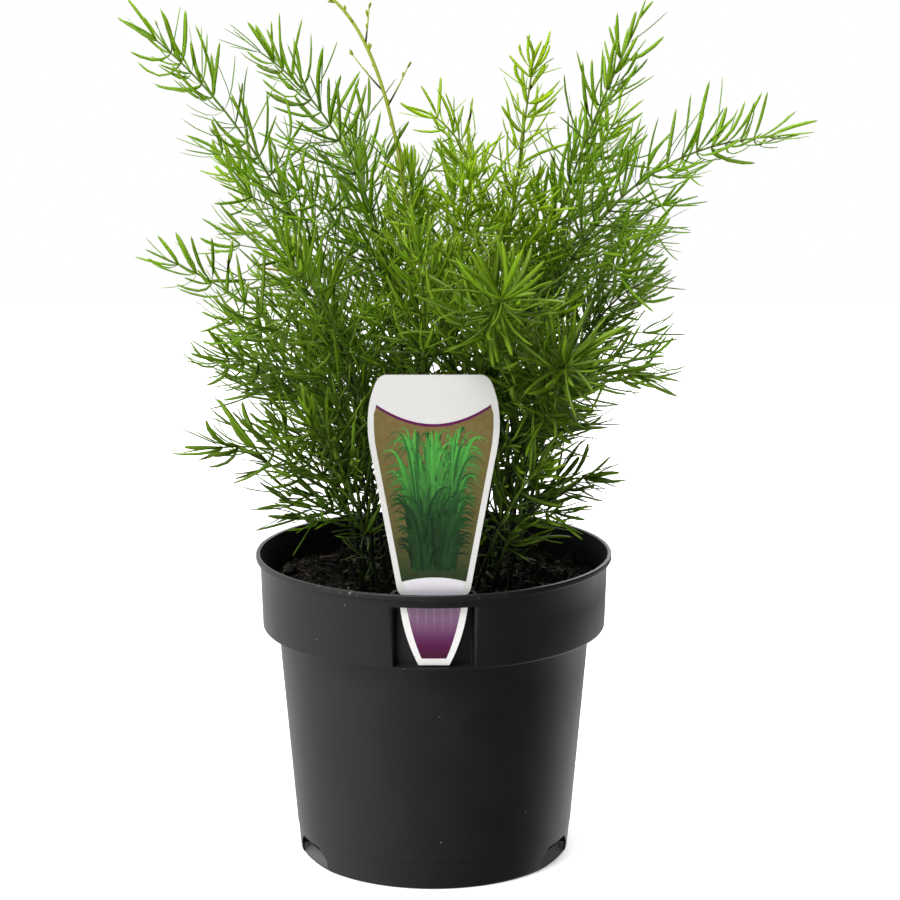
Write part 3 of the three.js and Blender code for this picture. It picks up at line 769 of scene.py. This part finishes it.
def make_frond(number, finishes, foot, bend, tip, spread, bare, kind):
    """One grown frond: its stem, its side branches and all their needles."""
    dice = random.Random(700 + number)
    curve = Bend(Vector((*foot, 0)) * MM + UP * STEM_FOOT_Z, Vector(bend) * MM, Vector(tip) * MM)
    look, twigs, star = KINDS[kind], TWIGS.get(number, ()), kind == "star"
    shape = Shape()
    tip_radius = SHOOT_TIP_R if kind == "shoot" else STEM_TIP_R
    stem_youth = 0.8 if kind == "shoot" else 0.1 + look["youth"] * 0.3
    steps = round(curve.length / (5 * MM))
    tube(shape, curve, steps, 8, lambda s: STEM_R + (tip_radius - STEM_R) * s, 1, tone=0.5, youth=stem_youth)
    low_needles(shape, curve, bare, dice, look)
    end = SHOOT_LEAFY_END if kind == "shoot" else LEAFY_END
    length, width = NEEDLE_L * look["needle"], NEEDLE_W * (look["needle"] + 1) / 2 * look["broad"]
    gap, tip_gap = NODE_GAP * look["gap"], 6 * MM if star else TIP_NODE_GAP
    for i, share in enumerate(node_shares(curve, bare, end, gap, tip_gap)):
        along = (share - bare) / (end - bare)
        node, axis = curve.at(share), curve.along(share)
        tint = dict(look, youth=min(1.0, look["youth"] + 0.2 * along ** 3))
        swell = 0.86 + 0.22 * math.sin(math.pi * min(1, along + 0.1)) ** 0.5
        reach = length * swell * (1 - 0.24 * along ** 7)
        angle = look["angle"] + (20 * along if star else -14 * along ** 4)
        tuft(shape, node, axis, i, reach, width, angle, dice, tint)
        if along < BRANCHED_END:
            reach = branch_length(spread * MM, along) * look["branches"]
            for shift in ((0.0, 2.5) if along < 0.45 and node.z > 195 * MM else (0.0,)):
                turn = GOLDEN * i + 1.3 + shift + dice.uniform(-0.3, 0.3)
                out = leaving(axis, math.radians(dice.uniform(48, 72)), turn)
                branch(shape, node, out, axis, reach, dice, tint)
    if kind == "shoot":
        shoot_top(shape, curve, end, twigs, dice)
    else:
        for share, way, reach in twigs:
            way = Vector(way).normalized()
            branch(shape, curve.at(share), way, curve.along(share), reach * MM, dice, look)
        tint = dict(look, youth=min(1, look["youth"] + 0.2), fan=look["fan"] if star else 14)
        reach, way, rise = length * look["end"], curve.along(1), look["climb"] * 0.6
        bunch(shape, curve.at(1), way, 0, look["open"], 5, reach, width * 0.9, dice, tint, 2.5, rise)
    piece = shape.make(f"frond_{number:02d}_foliage", finishes)
    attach(piece, "root")
    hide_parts(f"frond_{number:02d}")


# --- Pot ---


def polar(radius, angle, z):
    """A point round the pot. Angle 0 is the front and it grows to the right."""
    return Vector((radius * math.sin(angle), -radius * math.cos(angle), z))


def body_radius(z):
    return FOOT_R + (BODY_TOP_R - FOOT_R) * z / COLLAR_Z


def collar_in_radius(z):
    return COLLAR_LOW_R - WALL + (COLLAR_TOP_R - COLLAR_LOW_R) * (z - COLLAR_Z) / (POT_H - COLLAR_Z)


def corner(centre, radius, start, end, steps=5):
    """Points on a round corner of a profile, between two angles in degrees."""
    turns = [math.radians(start + (end - start) * i / steps) for i in range(steps + 1)]
    return [(centre[0] + radius * math.cos(t), centre[1] + radius * math.sin(t)) for t in turns]


def pot_profile():
    """The pot's wall as a closed line of (radius, height), up the outside and down the inside."""
    out = [(0.0, 1.0 * MM), (FOOT_R - 9 * MM, 1.0 * MM)]
    out += [(FOOT_R - 9.6 * MM, 0.4 * MM), (FOOT_R - 8.8 * MM, 0.0)]
    out += corner((FOOT_R - 1.2 * MM, 1.2 * MM), 1.2 * MM, -90, -5)
    rib = 13.6 * MM
    out += [(body_radius(rib), rib), (body_radius(rib) + RIB_STEP, rib + 0.25 * MM)]
    out += [(body_radius(COLLAR_Z * s) + RIB_STEP, COLLAR_Z * s) for s in (0.35, 0.6, 0.85)]
    out += corner((BODY_TOP_R + 1.2 * MM, COLLAR_Z - 1.2 * MM), 1.2 * MM, 175, 90)
    out += corner((COLLAR_LOW_R - 1.5 * MM, COLLAR_Z + 1.5 * MM), 1.5 * MM, -90, 0)
    out += [(COLLAR_LOW_R + 0.5 * MM, COLLAR_Z + 18 * MM)]
    out += [(COLLAR_TOP_R - 0.1 * MM, POT_H - LIP_H - 1.5 * MM)]
    out += corner((COLLAR_TOP_R + 0.55 * MM, POT_H - LIP_H - 0.9 * MM), 0.5 * MM, 200, 90, 3)
    out += corner((LIP_R - 0.75 * MM, POT_H - LIP_H + 0.4 * MM), 0.75 * MM, -80, 0, 4)
    out += corner((LIP_R - 0.55 * MM, POT_H - 0.55 * MM), 0.55 * MM, 0, 90, 4)
    out += [(LIP_R - 1.1 * MM, POT_H - 0.02 * MM)]
    inner = corner((MOUTH_R + 0.5 * MM, POT_H - 0.55 * MM), 0.5 * MM, 90, 180, 4)
    inner += [(MOUTH_R - a * MM, POT_H - b * MM) for a, b in ((0.2, 1.6), (0.6, 3.2), (1.2, 6))]
    inner += [(collar_in_radius(z), z) for z in (POT_H - 10 * MM, COLLAR_Z + 4 * MM, COLLAR_Z + WALL)]
    inner += [(body_radius(COLLAR_Z) - WALL, COLLAR_Z + WALL)]
    inner += [(body_radius(FLOOR + 2 * MM) - WALL, FLOOR + 2 * MM)]
    inner += [(body_radius(FLOOR) - WALL - 2 * MM, FLOOR), (0.0, FLOOR)]
    return out + inner


def turned(profile, facets, name):
    """A profile turned round the upright axis, as a closed mesh."""
    mesh = bmesh.new()
    line = profile[1:-1]
    columns = [[mesh.verts.new(polar(r, angle, z)) for r, z in line] for angle in full_turn(facets)]
    low = mesh.verts.new((0, 0, profile[0][1]))
    high = mesh.verts.new((0, 0, profile[-1][1]))
    for k in range(facets):
        here, there = columns[k], columns[(k + 1) % facets]
        for i in range(len(here) - 1):
            mesh.faces.new((here[i], there[i], there[i + 1], here[i + 1]))
        mesh.faces.new((low, there[0], here[0]))
        mesh.faces.new((here[-1], there[-1], high))
    bmesh.ops.recalc_face_normals(mesh, faces=mesh.faces)
    return object_of(mesh, name)


def object_of(mesh, name):
    data = bpy.data.meshes.new(name)
    mesh.to_mesh(data)
    mesh.free()
    return put(name, data)


def prism(low, high):
    """A closed solid between two outlines with as many points each."""
    mesh = bmesh.new()
    bottom = [mesh.verts.new(p) for p in low]
    top = [mesh.verts.new(p) for p in high]
    for i in range(len(low)):
        j = (i + 1) % len(low)
        mesh.faces.new((bottom[i], bottom[j], top[j], top[i]))
    mesh.faces.new(list(reversed(bottom)))
    mesh.faces.new(top)
    bmesh.ops.recalc_face_normals(mesh, faces=mesh.faces)
    return object_of(mesh, "tool")


def arc(radius, start, end, z, steps):
    """Points round the pot from one angle to another."""
    return [polar(radius, start + (end - start) * i / steps, z) for i in range(steps + 1)]


def sector(inner, outer, centre, half, low, height, steps):
    """A block between two radii, as far to one side of an angle as to the other."""
    outline = arc(inner, centre - half, centre + half, low, steps)
    outline += arc(outer, centre + half, centre - half, low, steps)
    return prism(outline, [p + UP * height for p in outline])


def slot_outline(z, outer, flare):
    """The label slot seen from above: a curved pocket whose mouth is flared by a rounded edge."""
    side = [(SLOT_WALL_R, SLOT_ANGLE - 0.6 * MM / SLOT_WALL_R), (SLOT_WALL_R + 0.6 * MM, SLOT_ANGLE)]
    rounding = COLLAR_TOP_R - 1.9 * MM
    side.append((rounding if flare else outer - 0.1 * MM, SLOT_ANGLE))
    if flare:
        for turn in map(math.radians, (25, 50, 75)):
            radius = rounding + 1.6 * MM * math.sin(turn)
            side.append((radius, SLOT_ANGLE + 1.6 * MM * (1 - math.cos(turn)) / COLLAR_TOP_R))
        side.append((COLLAR_TOP_R + 0.2 * MM, SLOT_ANGLE + 3.2 * MM / COLLAR_TOP_R))
    mouth, end = side[-1][1], side[0][1]
    right = [polar(r, a, z) for r, a in side] + ([polar(outer, mouth, z)] if flare else [])
    left = [polar(r, -a, z) for r, a in reversed(side + ([(outer, mouth)] if flare else []))]
    far = arc(outer, mouth, -mouth, z, 12)[1:-1]
    near = arc(SLOT_WALL_R, -end, end, z, 12)[1:-1]
    return near + right + far + left


def carve(target, tool, operation):
    """Joins a tool to a target or takes it away, for good."""
    modifier = target.modifiers.new("carve", "BOOLEAN")
    modifier.object = tool
    modifier.operation = operation
    modifier.solver = "EXACT"
    seen = target.evaluated_get(bpy.context.evaluated_depsgraph_get())
    mesh = bpy.data.meshes.new_from_object(seen)
    target.modifiers.clear()
    target.data = mesh
    bpy.data.objects.remove(tool)


def drain_tools(centre):
    """What a drain opening takes away: the wall before its leaning sill, and the hole over the sill."""
    low, top, sill, columns = DRAIN_LOW_ANGLE, DRAIN_TOP_ANGLE, DRAIN_SILL_H, 8
    mid = low - 0.35 * (low - top)
    mesh = bmesh.new()
    inner, outer = [], []
    for z, width in ((-1 * MM, low), (0.0, low), (2.4 * MM, low), (4.7 * MM, low), (sill, mid)):
        radius = DRAIN_SILL_LOW_R + (DRAIN_SILL_TOP_R - DRAIN_SILL_LOW_R) * (max(0, z) / sill) ** 0.8
        angles = [centre - width + 2 * width * i / columns for i in range(columns + 1)]
        dish = [0.6 * MM * math.cos(math.pi * (i / columns - 0.5)) for i in range(columns + 1)]
        inner.append([mesh.verts.new(polar(radius - d, a, z)) for a, d in zip(angles, dish)])
        outer.append([mesh.verts.new(polar(BEYOND, a, z)) for a in angles])
    for row in range(len(inner) - 1):
        for i in range(columns):
            for rows in (inner, outer):
                mesh.faces.new((rows[row][i], rows[row][i + 1], rows[row + 1][i + 1], rows[row + 1][i]))
        for i in (0, columns):
            mesh.faces.new((inner[row][i], outer[row][i], outer[row + 1][i], inner[row + 1][i]))
    for row in (0, -1):
        for i in range(columns):
            mesh.faces.new((inner[row][i], inner[row][i + 1], outer[row][i + 1], outer[row][i]))
    bmesh.ops.recalc_face_normals(mesh, faces=mesh.faces)
    right = [(mid, sill - 0.01 * MM), (top + 0.01, DRAIN_H - 1.1 * MM)]
    right += [(top - 0.01, DRAIN_H - 0.2 * MM), (top - 0.04, DRAIN_H)]
    left = [(-a, z) for a, z in reversed(right)]
    outline = left[-1:] + right + left[:-1]
    hole = [[polar(r, centre + a, z) for a, z in outline] for r in (DRAIN_DEEP_R, BEYOND)]
    return object_of(mesh, "tool"), prism(*hole)


def make_pot(outside, inside):
    """The moulded pot, turned and then carved for its label slot and drain openings."""
    pot = turned(pot_profile(), POT_FACETS, "nursery_pot")
    half = SLOT_ANGLE + WALL / SLOT_WALL_R
    low, height = COLLAR_Z + 0.2 * MM, POT_H - COLLAR_Z - 0.8 * MM
    carve(pot, sector(SLOT_WALL_R - WALL, COLLAR_LOW_R - 0.4 * MM, 0, half, low, height, 14), "UNION")
    half = DRAIN_LOW_ANGLE + WALL / FOOT_R
    low, height = FLOOR - 0.5 * MM, DRAIN_SILL_H - FLOOR + 0.5 * MM
    for centre in DRAIN_AT:
        carve(pot, sector(DRAIN_SILL_IN_R, FOOT_R - 0.7 * MM, centre, half, low, height, 10), "UNION")
    recess = SLOT_LOW_Z, BAND_LOW_Z, BEYOND, True
    slot = BAND_LOW_Z - MM, POT_H + MM, BAND_IN_R, False
    for low, high, outer, flare in (recess, slot):
        carve(pot, prism(slot_outline(low, outer, flare), slot_outline(high, outer, flare)), "DIFFERENCE")
    for centre in DRAIN_AT:
        for tool in drain_tools(centre):
            carve(pot, tool, "DIFFERENCE")
    pot.data.materials.clear()
    for material in (outside, inside):
        pot.data.materials.append(material)
    # Painted shade: the inner wall of the mouth and the drain holes get the darker inside finish.
    for face in pot.data.polygons:
        radius, z = math.hypot(face.center.x, face.center.y), face.center.z
        faces_in = face.normal.x * face.center.x + face.normal.y * face.center.y < 0
        mouth = faces_in and radius < MOUTH_R and COLLAR_Z < z < POT_H - 0.7 * MM
        hole = 5 * MM < z < DRAIN_H + 0.2 * MM and radius < body_radius(z) - 0.4 * MM
        face.material_index = 1 if mouth or hole else 0
    smooth_by_angle(pot, POT_CREASE)
    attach(pot, "root")
    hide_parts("pot")


def smooth_by_angle(piece, crease):
    """Shades a mesh smooth except over edges sharper than an angle."""
    mesh = bmesh.new()
    mesh.from_mesh(piece.data)
    for face in mesh.faces:
        face.smooth = True
    for edge in mesh.edges:
        edge.smooth = edge.is_manifold and edge.calc_face_angle(0) < crease
    mesh.to_mesh(piece.data)
    mesh.free()


# --- Potting mix ---


def soil_edge(angle, z):
    """Radius of the mix at a place round the pot, where it meets the wall or the slot's housing."""
    turn = (angle + math.pi) % (2 * math.pi) - math.pi
    if z > COLLAR_Z and abs(turn) < SLOT_ANGLE + 2.4 * MM / SLOT_WALL_R:
        return SLOT_WALL_R - WALL - 0.6 * MM
    if z > COLLAR_Z + WALL:
        return collar_in_radius(z) - SOIL_GAP
    return body_radius(z) - WALL - SOIL_GAP


def soil_height(x, y):
    """Height of the mix, with broad humps and crumbs."""
    place = Vector((x, y, 0))
    humps = noise.noise(place * 42) * 2.2
    clods = noise.turbulence(place * 105, 2, True) ** 1.6 * 9.5
    crumbs = noise.turbulence(place * 400, 3, True) * 2.6
    return SOIL_Z + (humps + clods + crumbs - 4.2) * MM


def make_soil(material):
    """The potting mix: a rough top, its sides along the pot's wall and a flat underside."""
    shape = Shape()
    points = []
    for ring in range(1, SOIL_RINGS + 1):
        for angle in full_turn(SOIL_FACETS):
            radius = soil_edge(angle, SOIL_Z) * ring / SOIL_RINGS
            p = polar(radius, angle, 0)
            points.append(Vector((p.x, p.y, soil_height(p.x, p.y))))
    sides = [(None, z * MM) for z in (124, 113, 110, 60)]
    sides += [(None, SOIL_CORE_Z), (SOIL_CORE_R, SOIL_CORE_Z), (SOIL_CORE_R, FLOOR + SOIL_GAP)]
    for radius, z in sides:
        points += [polar(radius or soil_edge(angle, z), angle, z) for angle in full_turn(SOIL_FACETS)]
    rings = SOIL_RINGS + len(sides)
    faces = [tuple(reversed(f)) for f in ring_faces(rings, SOIL_FACETS)]
    top, bottom = len(points), len(points) + 1
    points += [Vector((0, 0, soil_height(0, 0))), Vector((0, 0, FLOOR + SOIL_GAP))]
    base = (rings - 1) * SOIL_FACETS
    for k in range(SOIL_FACETS):
        after = (k + 1) % SOIL_FACETS
        faces.append((top, k, after))
        faces.append((bottom, base + after, base + k))
    shape.add(points, faces)
    piece = shape.make("potting_mix", [material])
    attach(piece, "root")
    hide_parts("soil")


def soil_spot(dice):
    """A random place on the mix, as a point on its surface."""
    while True:
        x, y = (dice.uniform(-SOIL_REACH, SOIL_REACH) * MM for _ in range(2))
        angle = math.atan2(x, -y)
        if math.hypot(x, y) < soil_edge(angle, SOIL_Z) - 2.5 * MM:
            return Vector((x, y, soil_height(x, y)))


SQUARE = ((-1, -1), (1, -1), (1, 1), (-1, 1))
CHIP_FACES = ((0, 1, 2, 3), (4, 7, 6, 5), (0, 4, 5, 1), (1, 5, 6, 2), (2, 6, 7, 3), (3, 7, 4, 0))


def chip(shape, place, size, dice, slot, tone):
    """An irregular flake with eight uneven corners."""
    heading = dice.uniform(0, 2 * math.pi)
    tilt = dice.uniform(-0.8, 0.8)
    level = math.cos(tilt)
    long_way = Vector((math.cos(heading) * level, math.sin(heading) * level, math.sin(tilt)))
    wide_way = sideways(long_way)
    thick_way = long_way.cross(wide_way)
    corners = []
    for c in (-1, 1):
        for a, b in SQUARE:
            along = long_way * a * size[0] * dice.uniform(0.55, 1.0)
            across = wide_way * b * size[1] * dice.uniform(0.5, 1.0)
            deep = thick_way * c * size[2] * dice.uniform(0.5, 1.0)
            corners.append(place + (along + across + deep) * 0.5)
    shape.add(corners, CHIP_FACES, slot, tone=tone)


def make_litter(finishes):
    """Bark chips, scraps, pale crumbs, fibres and one stalk that lie on the potting mix."""
    dice = random.Random(41)
    shape = Shape()
    for _ in range(CHIPS):
        grade = dice.random() ** 2.2
        long = (1.0 + 5.0 * grade) * MM
        size = (long, long * dice.uniform(0.35, 0.8), long * dice.uniform(0.15, 0.4))
        place = soil_spot(dice) + UP * size[2] * dice.uniform(-0.1, 0.5)
        chip(shape, place, size, dice, 0, dice.random() ** 7.0)
    for _ in range(SCRAPS):
        long = dice.uniform(3.0, 6.5) * MM
        size = (long, long * dice.uniform(0.5, 0.9), long * dice.uniform(0.3, 0.6))
        chip(shape, soil_spot(dice), size, dice, 0, dice.random() ** 3.0 * 0.16)
    for _ in range(PALE_CRUMBS):
        size = [dice.uniform(0.6, 1.5) * MM for _ in range(3)]
        chip(shape, soil_spot(dice) + UP * 0.3 * MM, size, dice, 1, dice.random())
    for _ in range(FIBRES):
        start = soil_spot(dice) + UP * 0.5 * MM
        heading = dice.uniform(0, 2 * math.pi)
        way = Vector((math.cos(heading), math.sin(heading), 0))
        length = dice.uniform(5, 16) * MM
        middle = start + way * length * 0.5 + UP * dice.uniform(0.4, 2.4) * MM
        end = start + way * length + sideways(way) * dice.uniform(-0.3, 0.3) * length
        edge = soil_edge(math.atan2(end.x, -end.y), SOIL_Z) - 1.5 * MM
        if math.hypot(end.x, end.y) > edge:
            continue
        end.z = soil_height(end.x, end.y)
        thin = dice.uniform(0.12, 0.34) * MM
        tube(shape, Bend(start, middle, end), 6, 4, lambda s: thin, 0, tone=dice.random() ** 2)
    foot = Vector((62, -34, 0)) * MM
    foot.z = soil_height(foot.x, foot.y)
    stalk = Bend(foot, foot + Vector((-1.2, 0, 5)) * MM, foot + Vector((1.5, 0, 9)) * MM)
    tube(shape, stalk, 6, 4, lambda s: 0.35 * MM, 0, tone=0.8)
    piece = shape.make("bark_and_fibres", finishes, smooth=False)
    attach(piece, "root")


# --- Plant label ---


def quadratic(a, b, c, steps=8):
    """Points on a plane curve with one bend, without its first point."""
    made = []
    for i in range(1, steps + 1):
        t = i / steps
        made.append(tuple(a[j] * (1 - t) ** 2 + b[j] * 2 * t * (1 - t) + c[j] * t * t for j in (0, 1)))
    return made


def mirrored(right):
    """An outline from its right half, which runs from the middle below to the middle above."""
    return right + [(-x, z) for x, z in reversed(right) if x > 0]


def label_outline():
    """The label's edge in millimetres: a tongue, a neck and a blade that widens to its rounded top."""
    right = [(7.0, 113.2)]
    right += quadratic(right[-1], (14.0, 127), (15.4, 142))
    right += [(13, 142.2), (13, 145.4)]
    right += quadratic(right[-1], (16.5, 146.2), (16.9, 150.6))
    right += [(27.6, 209.5)]
    right += quadratic(right[-1], (29.6, 219), (29.3, 226))
    right += quadratic(right[-1], (29.0, 234.5), (26.6, 240.9))
    right += quadratic(right[-1], (24.8, 246.6), (20.8, 246.7))
    return mirrored(right)


def picture_half_width(z):
    """Half width of the label's picture at a height, in millimetres: the blade's less its white border."""
    if z < 209.5:
        return 16.9 + 10.7 * (z - 150.6) / 58.9 - LABEL_BORDER
    return 27.6 + 1.7 * (1 - (1 - (z - 209.5) / 16.5) ** 2) - LABEL_BORDER


def plate(shape, outline, near, far, slot, tone=0.0):
    """A flat closed plate on the label, from an outline in millimetres and two distances in front of it."""
    count = len(outline)
    y_near, y_far = LABEL_Y - near * MM, LABEL_Y - far * MM
    points = [Vector((x * MM, y_near, z * MM)) for x, z in outline]
    points += [Vector((x * MM, y_far, z * MM)) for x, z in outline]
    triangles = geometry.tessellate_polygon([[Vector((x, z, 0)) for x, z in outline]])
    faces = []
    for a, b, c in triangles:
        (ax, az), (bx, bz), (cx, cz) = outline[a], outline[b], outline[c]
        if (bx - ax) * (cz - az) - (bz - az) * (cx - ax) < 0:
            b, c = c, b
        faces.append((count + a, count + b, count + c))
        faces.append((a, c, b))
    for i in range(count):
        j = (i + 1) % count
        faces.append((i, j, count + j, count + i))
    shape.add(points, faces, slot, tone=tone)


def make_label(finishes):
    """The label: a white sheet with its printed panels, rule and leaf picture as thin plates."""
    shape = Shape()
    half = LABEL_T / MM / 2
    plate(shape, label_outline(), -half, half, 0)
    low_edge = [(0, 154.2), *quadratic((0, 154.2), (7.5, 154.2), (14.5, 152.2), 6)]
    side = [(picture_half_width(z), z) for z in (152.2 + i * 6.4 for i in range(1, 13))]
    arch = [(25.6, 232.1), *quadratic((25.6, 232.1), (12.6, 223.2), (0, 223.2), 12)]
    plate(shape, mirrored([*low_edge, *side, *arch]), half, half + 0.03, 1)
    rule = list(reversed(arch)) + [(x, z + 1.3) for x, z in arch]
    plate(shape, mirrored(rule), half, half + 0.05, 2)
    tongue = [(5.6, 116.3), *quadratic((5.6, 116.3), (10.2, 127), (12.4, 140.9))]
    tongue += [(10.4, 141.6), (10.4, 146.2)]
    tongue += quadratic(tongue[-1], (12.6, 148), (13.9, 151.6))
    tongue += quadratic(tongue[-1], (7.5, 153.9), (0, 153.9))
    plate(shape, mirrored(tongue), half, half + 0.03, 3)
    leaf_picture(shape, half + 0.035)
    piece = shape.make("plant_label_sheet", finishes, smooth=False)
    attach(piece, "root")
    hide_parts("plant_label")


def strap(foot, reach, height, droop, width):
    """A long tapering leaf that arches from its foot out to its tip, as an outline in millimetres."""
    x, z = foot
    line = [foot, *quadratic(foot, (x + reach * 0.2, z + height * 1.2), (x + reach, z + height * droop), 10)]
    left, right = [], []
    for i, (a, b) in enumerate(line[:-1]):
        run, climb = line[i + 1][0] - a, line[i + 1][1] - b
        size = math.hypot(run, climb)
        half = width / 2 * (0.5 + 0.5 * min(1, i / 4)) * (1 - (i / 10) ** 3)
        left.append((a - climb / size * half, b + run / size * half))
        right.append((a + climb / size * half, b - run / size * half))
    return right + [line[-1]] + left[::-1]


def leaf_picture(shape, near):
    """A made-up print: a tuft of arching strap leaves, dark at its foot and behind, light in front."""
    dice = random.Random(9)
    for i in range(LEAVES):
        front = i / LEAVES
        short = i > LONG_LEAVES
        foot = dice.uniform(-10, 10), 157 + dice.random() * 3
        reach = foot[0] * 1.1 + dice.gauss(0, 11)
        height = dice.uniform(10, 38) if short else dice.uniform(40, 72) - abs(reach) * 0.3
        droop = dice.uniform(0.74, 1.0)
        tone = 0.1 + 0.5 * front * dice.random() if short else 0.15 + 0.85 * dice.random()
        for _ in range(12):
            outline = strap(foot, reach, height, droop, dice.uniform(0.9, 1.7))
            if all(abs(a) < picture_half_width(b) - 0.5 and 155.5 < b < 222 + a * a / 70 for a, b in outline):
                plate(shape, outline, near, near + 0.01 + i * 0.0005, 4, tone)
                break
            foot = foot[0] * 0.93, foot[1]
            reach, height = reach * 0.88, height * 0.97


# --- Studio ---


def make_camera():
    """A camera in front of the plant, a little above its top, that looks down at the pot."""
    data = bpy.data.cameras.new("camera")
    data.sensor_width = 36
    data.lens = LENS
    data.clip_start, data.clip_end = 0.05, 30
    camera = put("camera", data)
    camera.location = CAMERA_AT
    camera.rotation_euler = (math.pi / 2 - CAMERA_DOWN, 0, CAMERA_TURN)
    bpy.context.scene.camera = camera


def softbox(name, place, aim_z, size, power):
    """A soft rectangle of light that faces a point on the pot's axis."""
    data = bpy.data.lights.new(name, "AREA")
    data.shape = "RECTANGLE"
    data.size, data.size_y = size
    data.energy = power
    light = put(name, data)
    light.location = place
    light.rotation_euler = (UP * aim_z - Vector(place)).to_track_quat("-Z", "Y").to_euler()


def make_studio():
    """A white room: pale floor, soft lights, and a glow that is strongest on the left and behind."""
    mesh = bmesh.new()
    mesh.faces.new([mesh.verts.new((x * FLOOR_HALF, y * FLOOR_HALF, 0)) for x, y in SQUARE])
    floor = object_of(mesh, "floor")
    floor.visible_glossy = False
    finish = new_finish("floor_white", roughness=0.9, specular_ior_level=0.1, emission_strength=1.0)
    finish.feed(base_color=finish.mix(finish.grain(2.0), (0.92, 0.92, 0.92), (0.95, 0.95, 0.95)))
    seen = Value(finish, finish.node("ShaderNodeLightPath").outputs["Is Camera Ray"])
    finish.feed(emission_color=finish.mix(seen, (0.0, 0.0, 0.0), (0.3, 0.3, 0.3)))
    floor.data.materials.append(finish.material)
    world = bpy.data.worlds.new("studio")
    world.use_nodes = True
    bpy.context.scene.world = world
    finish = Finish(world.node_tree)
    x, y, z = finish.axes("Generated")
    left = ((0.9 - x) / 1.9).most(0) ** 1.7
    behind = y.rise(0.3, 1.0) * (1 - x.rise(-0.2, 0.4) * 0.55)
    right = x.rise(0.12, 0.45) * y.rise(-0.1, 0.8) * (0 - z).rise(0.27, 0.38)
    low_front = (0 - z).rise(0.27, 0.38) * (0 - y).rise(0.5, 0.95)
    glow = (0.04 + left) * (1 - low_front * 0.4) + behind * 0.95 + right * 1.8
    light = finish.node("ShaderNodeBackground", None, {"Color": (1.0, 1.0, 1.0), "Strength": glow})
    seen = finish.node("ShaderNodeBackground", None, {"Color": (1.0, 1.0, 1.0), "Strength": 1.0})
    sight = finish.node("ShaderNodeLightPath").outputs["Is Camera Ray"]
    finish.node("ShaderNodeOutputWorld", None, {"Surface": finish.layer(sight, light, seen).outputs[0]})
    softbox("key_box", (-0.9, -1.1, 1.8), 0.25, (0.9, 0.9), 42)
    softbox("top_box", (0.1, 0.1, 2.1), 0.2, (1.5, 1.3), 38)
    softbox("back_box", (0.5, 1.5, 1.3), 0.3, (0.9, 0.9), 20)
    settings = bpy.context.scene.view_settings
    settings.view_transform = "Standard"
    settings.look = "None"


# --- Assembly ---

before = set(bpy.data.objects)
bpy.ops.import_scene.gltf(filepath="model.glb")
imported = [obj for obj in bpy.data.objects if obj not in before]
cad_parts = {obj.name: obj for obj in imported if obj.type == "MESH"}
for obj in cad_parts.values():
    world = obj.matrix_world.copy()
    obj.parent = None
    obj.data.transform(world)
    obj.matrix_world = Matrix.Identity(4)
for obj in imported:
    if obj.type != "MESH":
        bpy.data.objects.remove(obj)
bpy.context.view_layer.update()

make_camera()
make_studio()
make_pot(pot_plastic(), pot_inside_painted_shade())
make_soil(potting_mix())
make_litter([bark(), perlite()])
tan_stops = [(0.0, (0.018, 0.034, 0.008)), (0.35, (0.090, 0.078, 0.018)), (1.0, (0.150, 0.106, 0.030))]
plum_stops = [(0.05, (0.058, 0.001, 0.026)), (0.16, (0.078, 0.001, 0.048)), (0.26, (0.098, 0.016, 0.076))]
plum_stops += [(0.45, (0.160, 0.071, 0.146)), (0.63, (0.200, 0.120, 0.190)), (0.79, (0.600, 0.560, 0.620))]
plum_stops += [(0.89, (0.660, 0.640, 0.680))]
make_label([
    sheet_plastic(),
    printed("tan_print", 0.155, 0.225, tan_stops, 330, 0.7),
    printed("plum_rule", 0.2, 0.23, [(0.0, (0.095, 0.000, 0.060)), (1.0, (0.095, 0.000, 0.060))], 900, 0.1),
    printed("plum_print", 0.1163, 0.154, plum_stops, 700, 0.12, 0.08),
    leaf_print(),
])
foliage = [needle_green(), stem_green()]
for number, plan in enumerate(FRONDS, 1):
    make_frond(number, foliage, *plan)
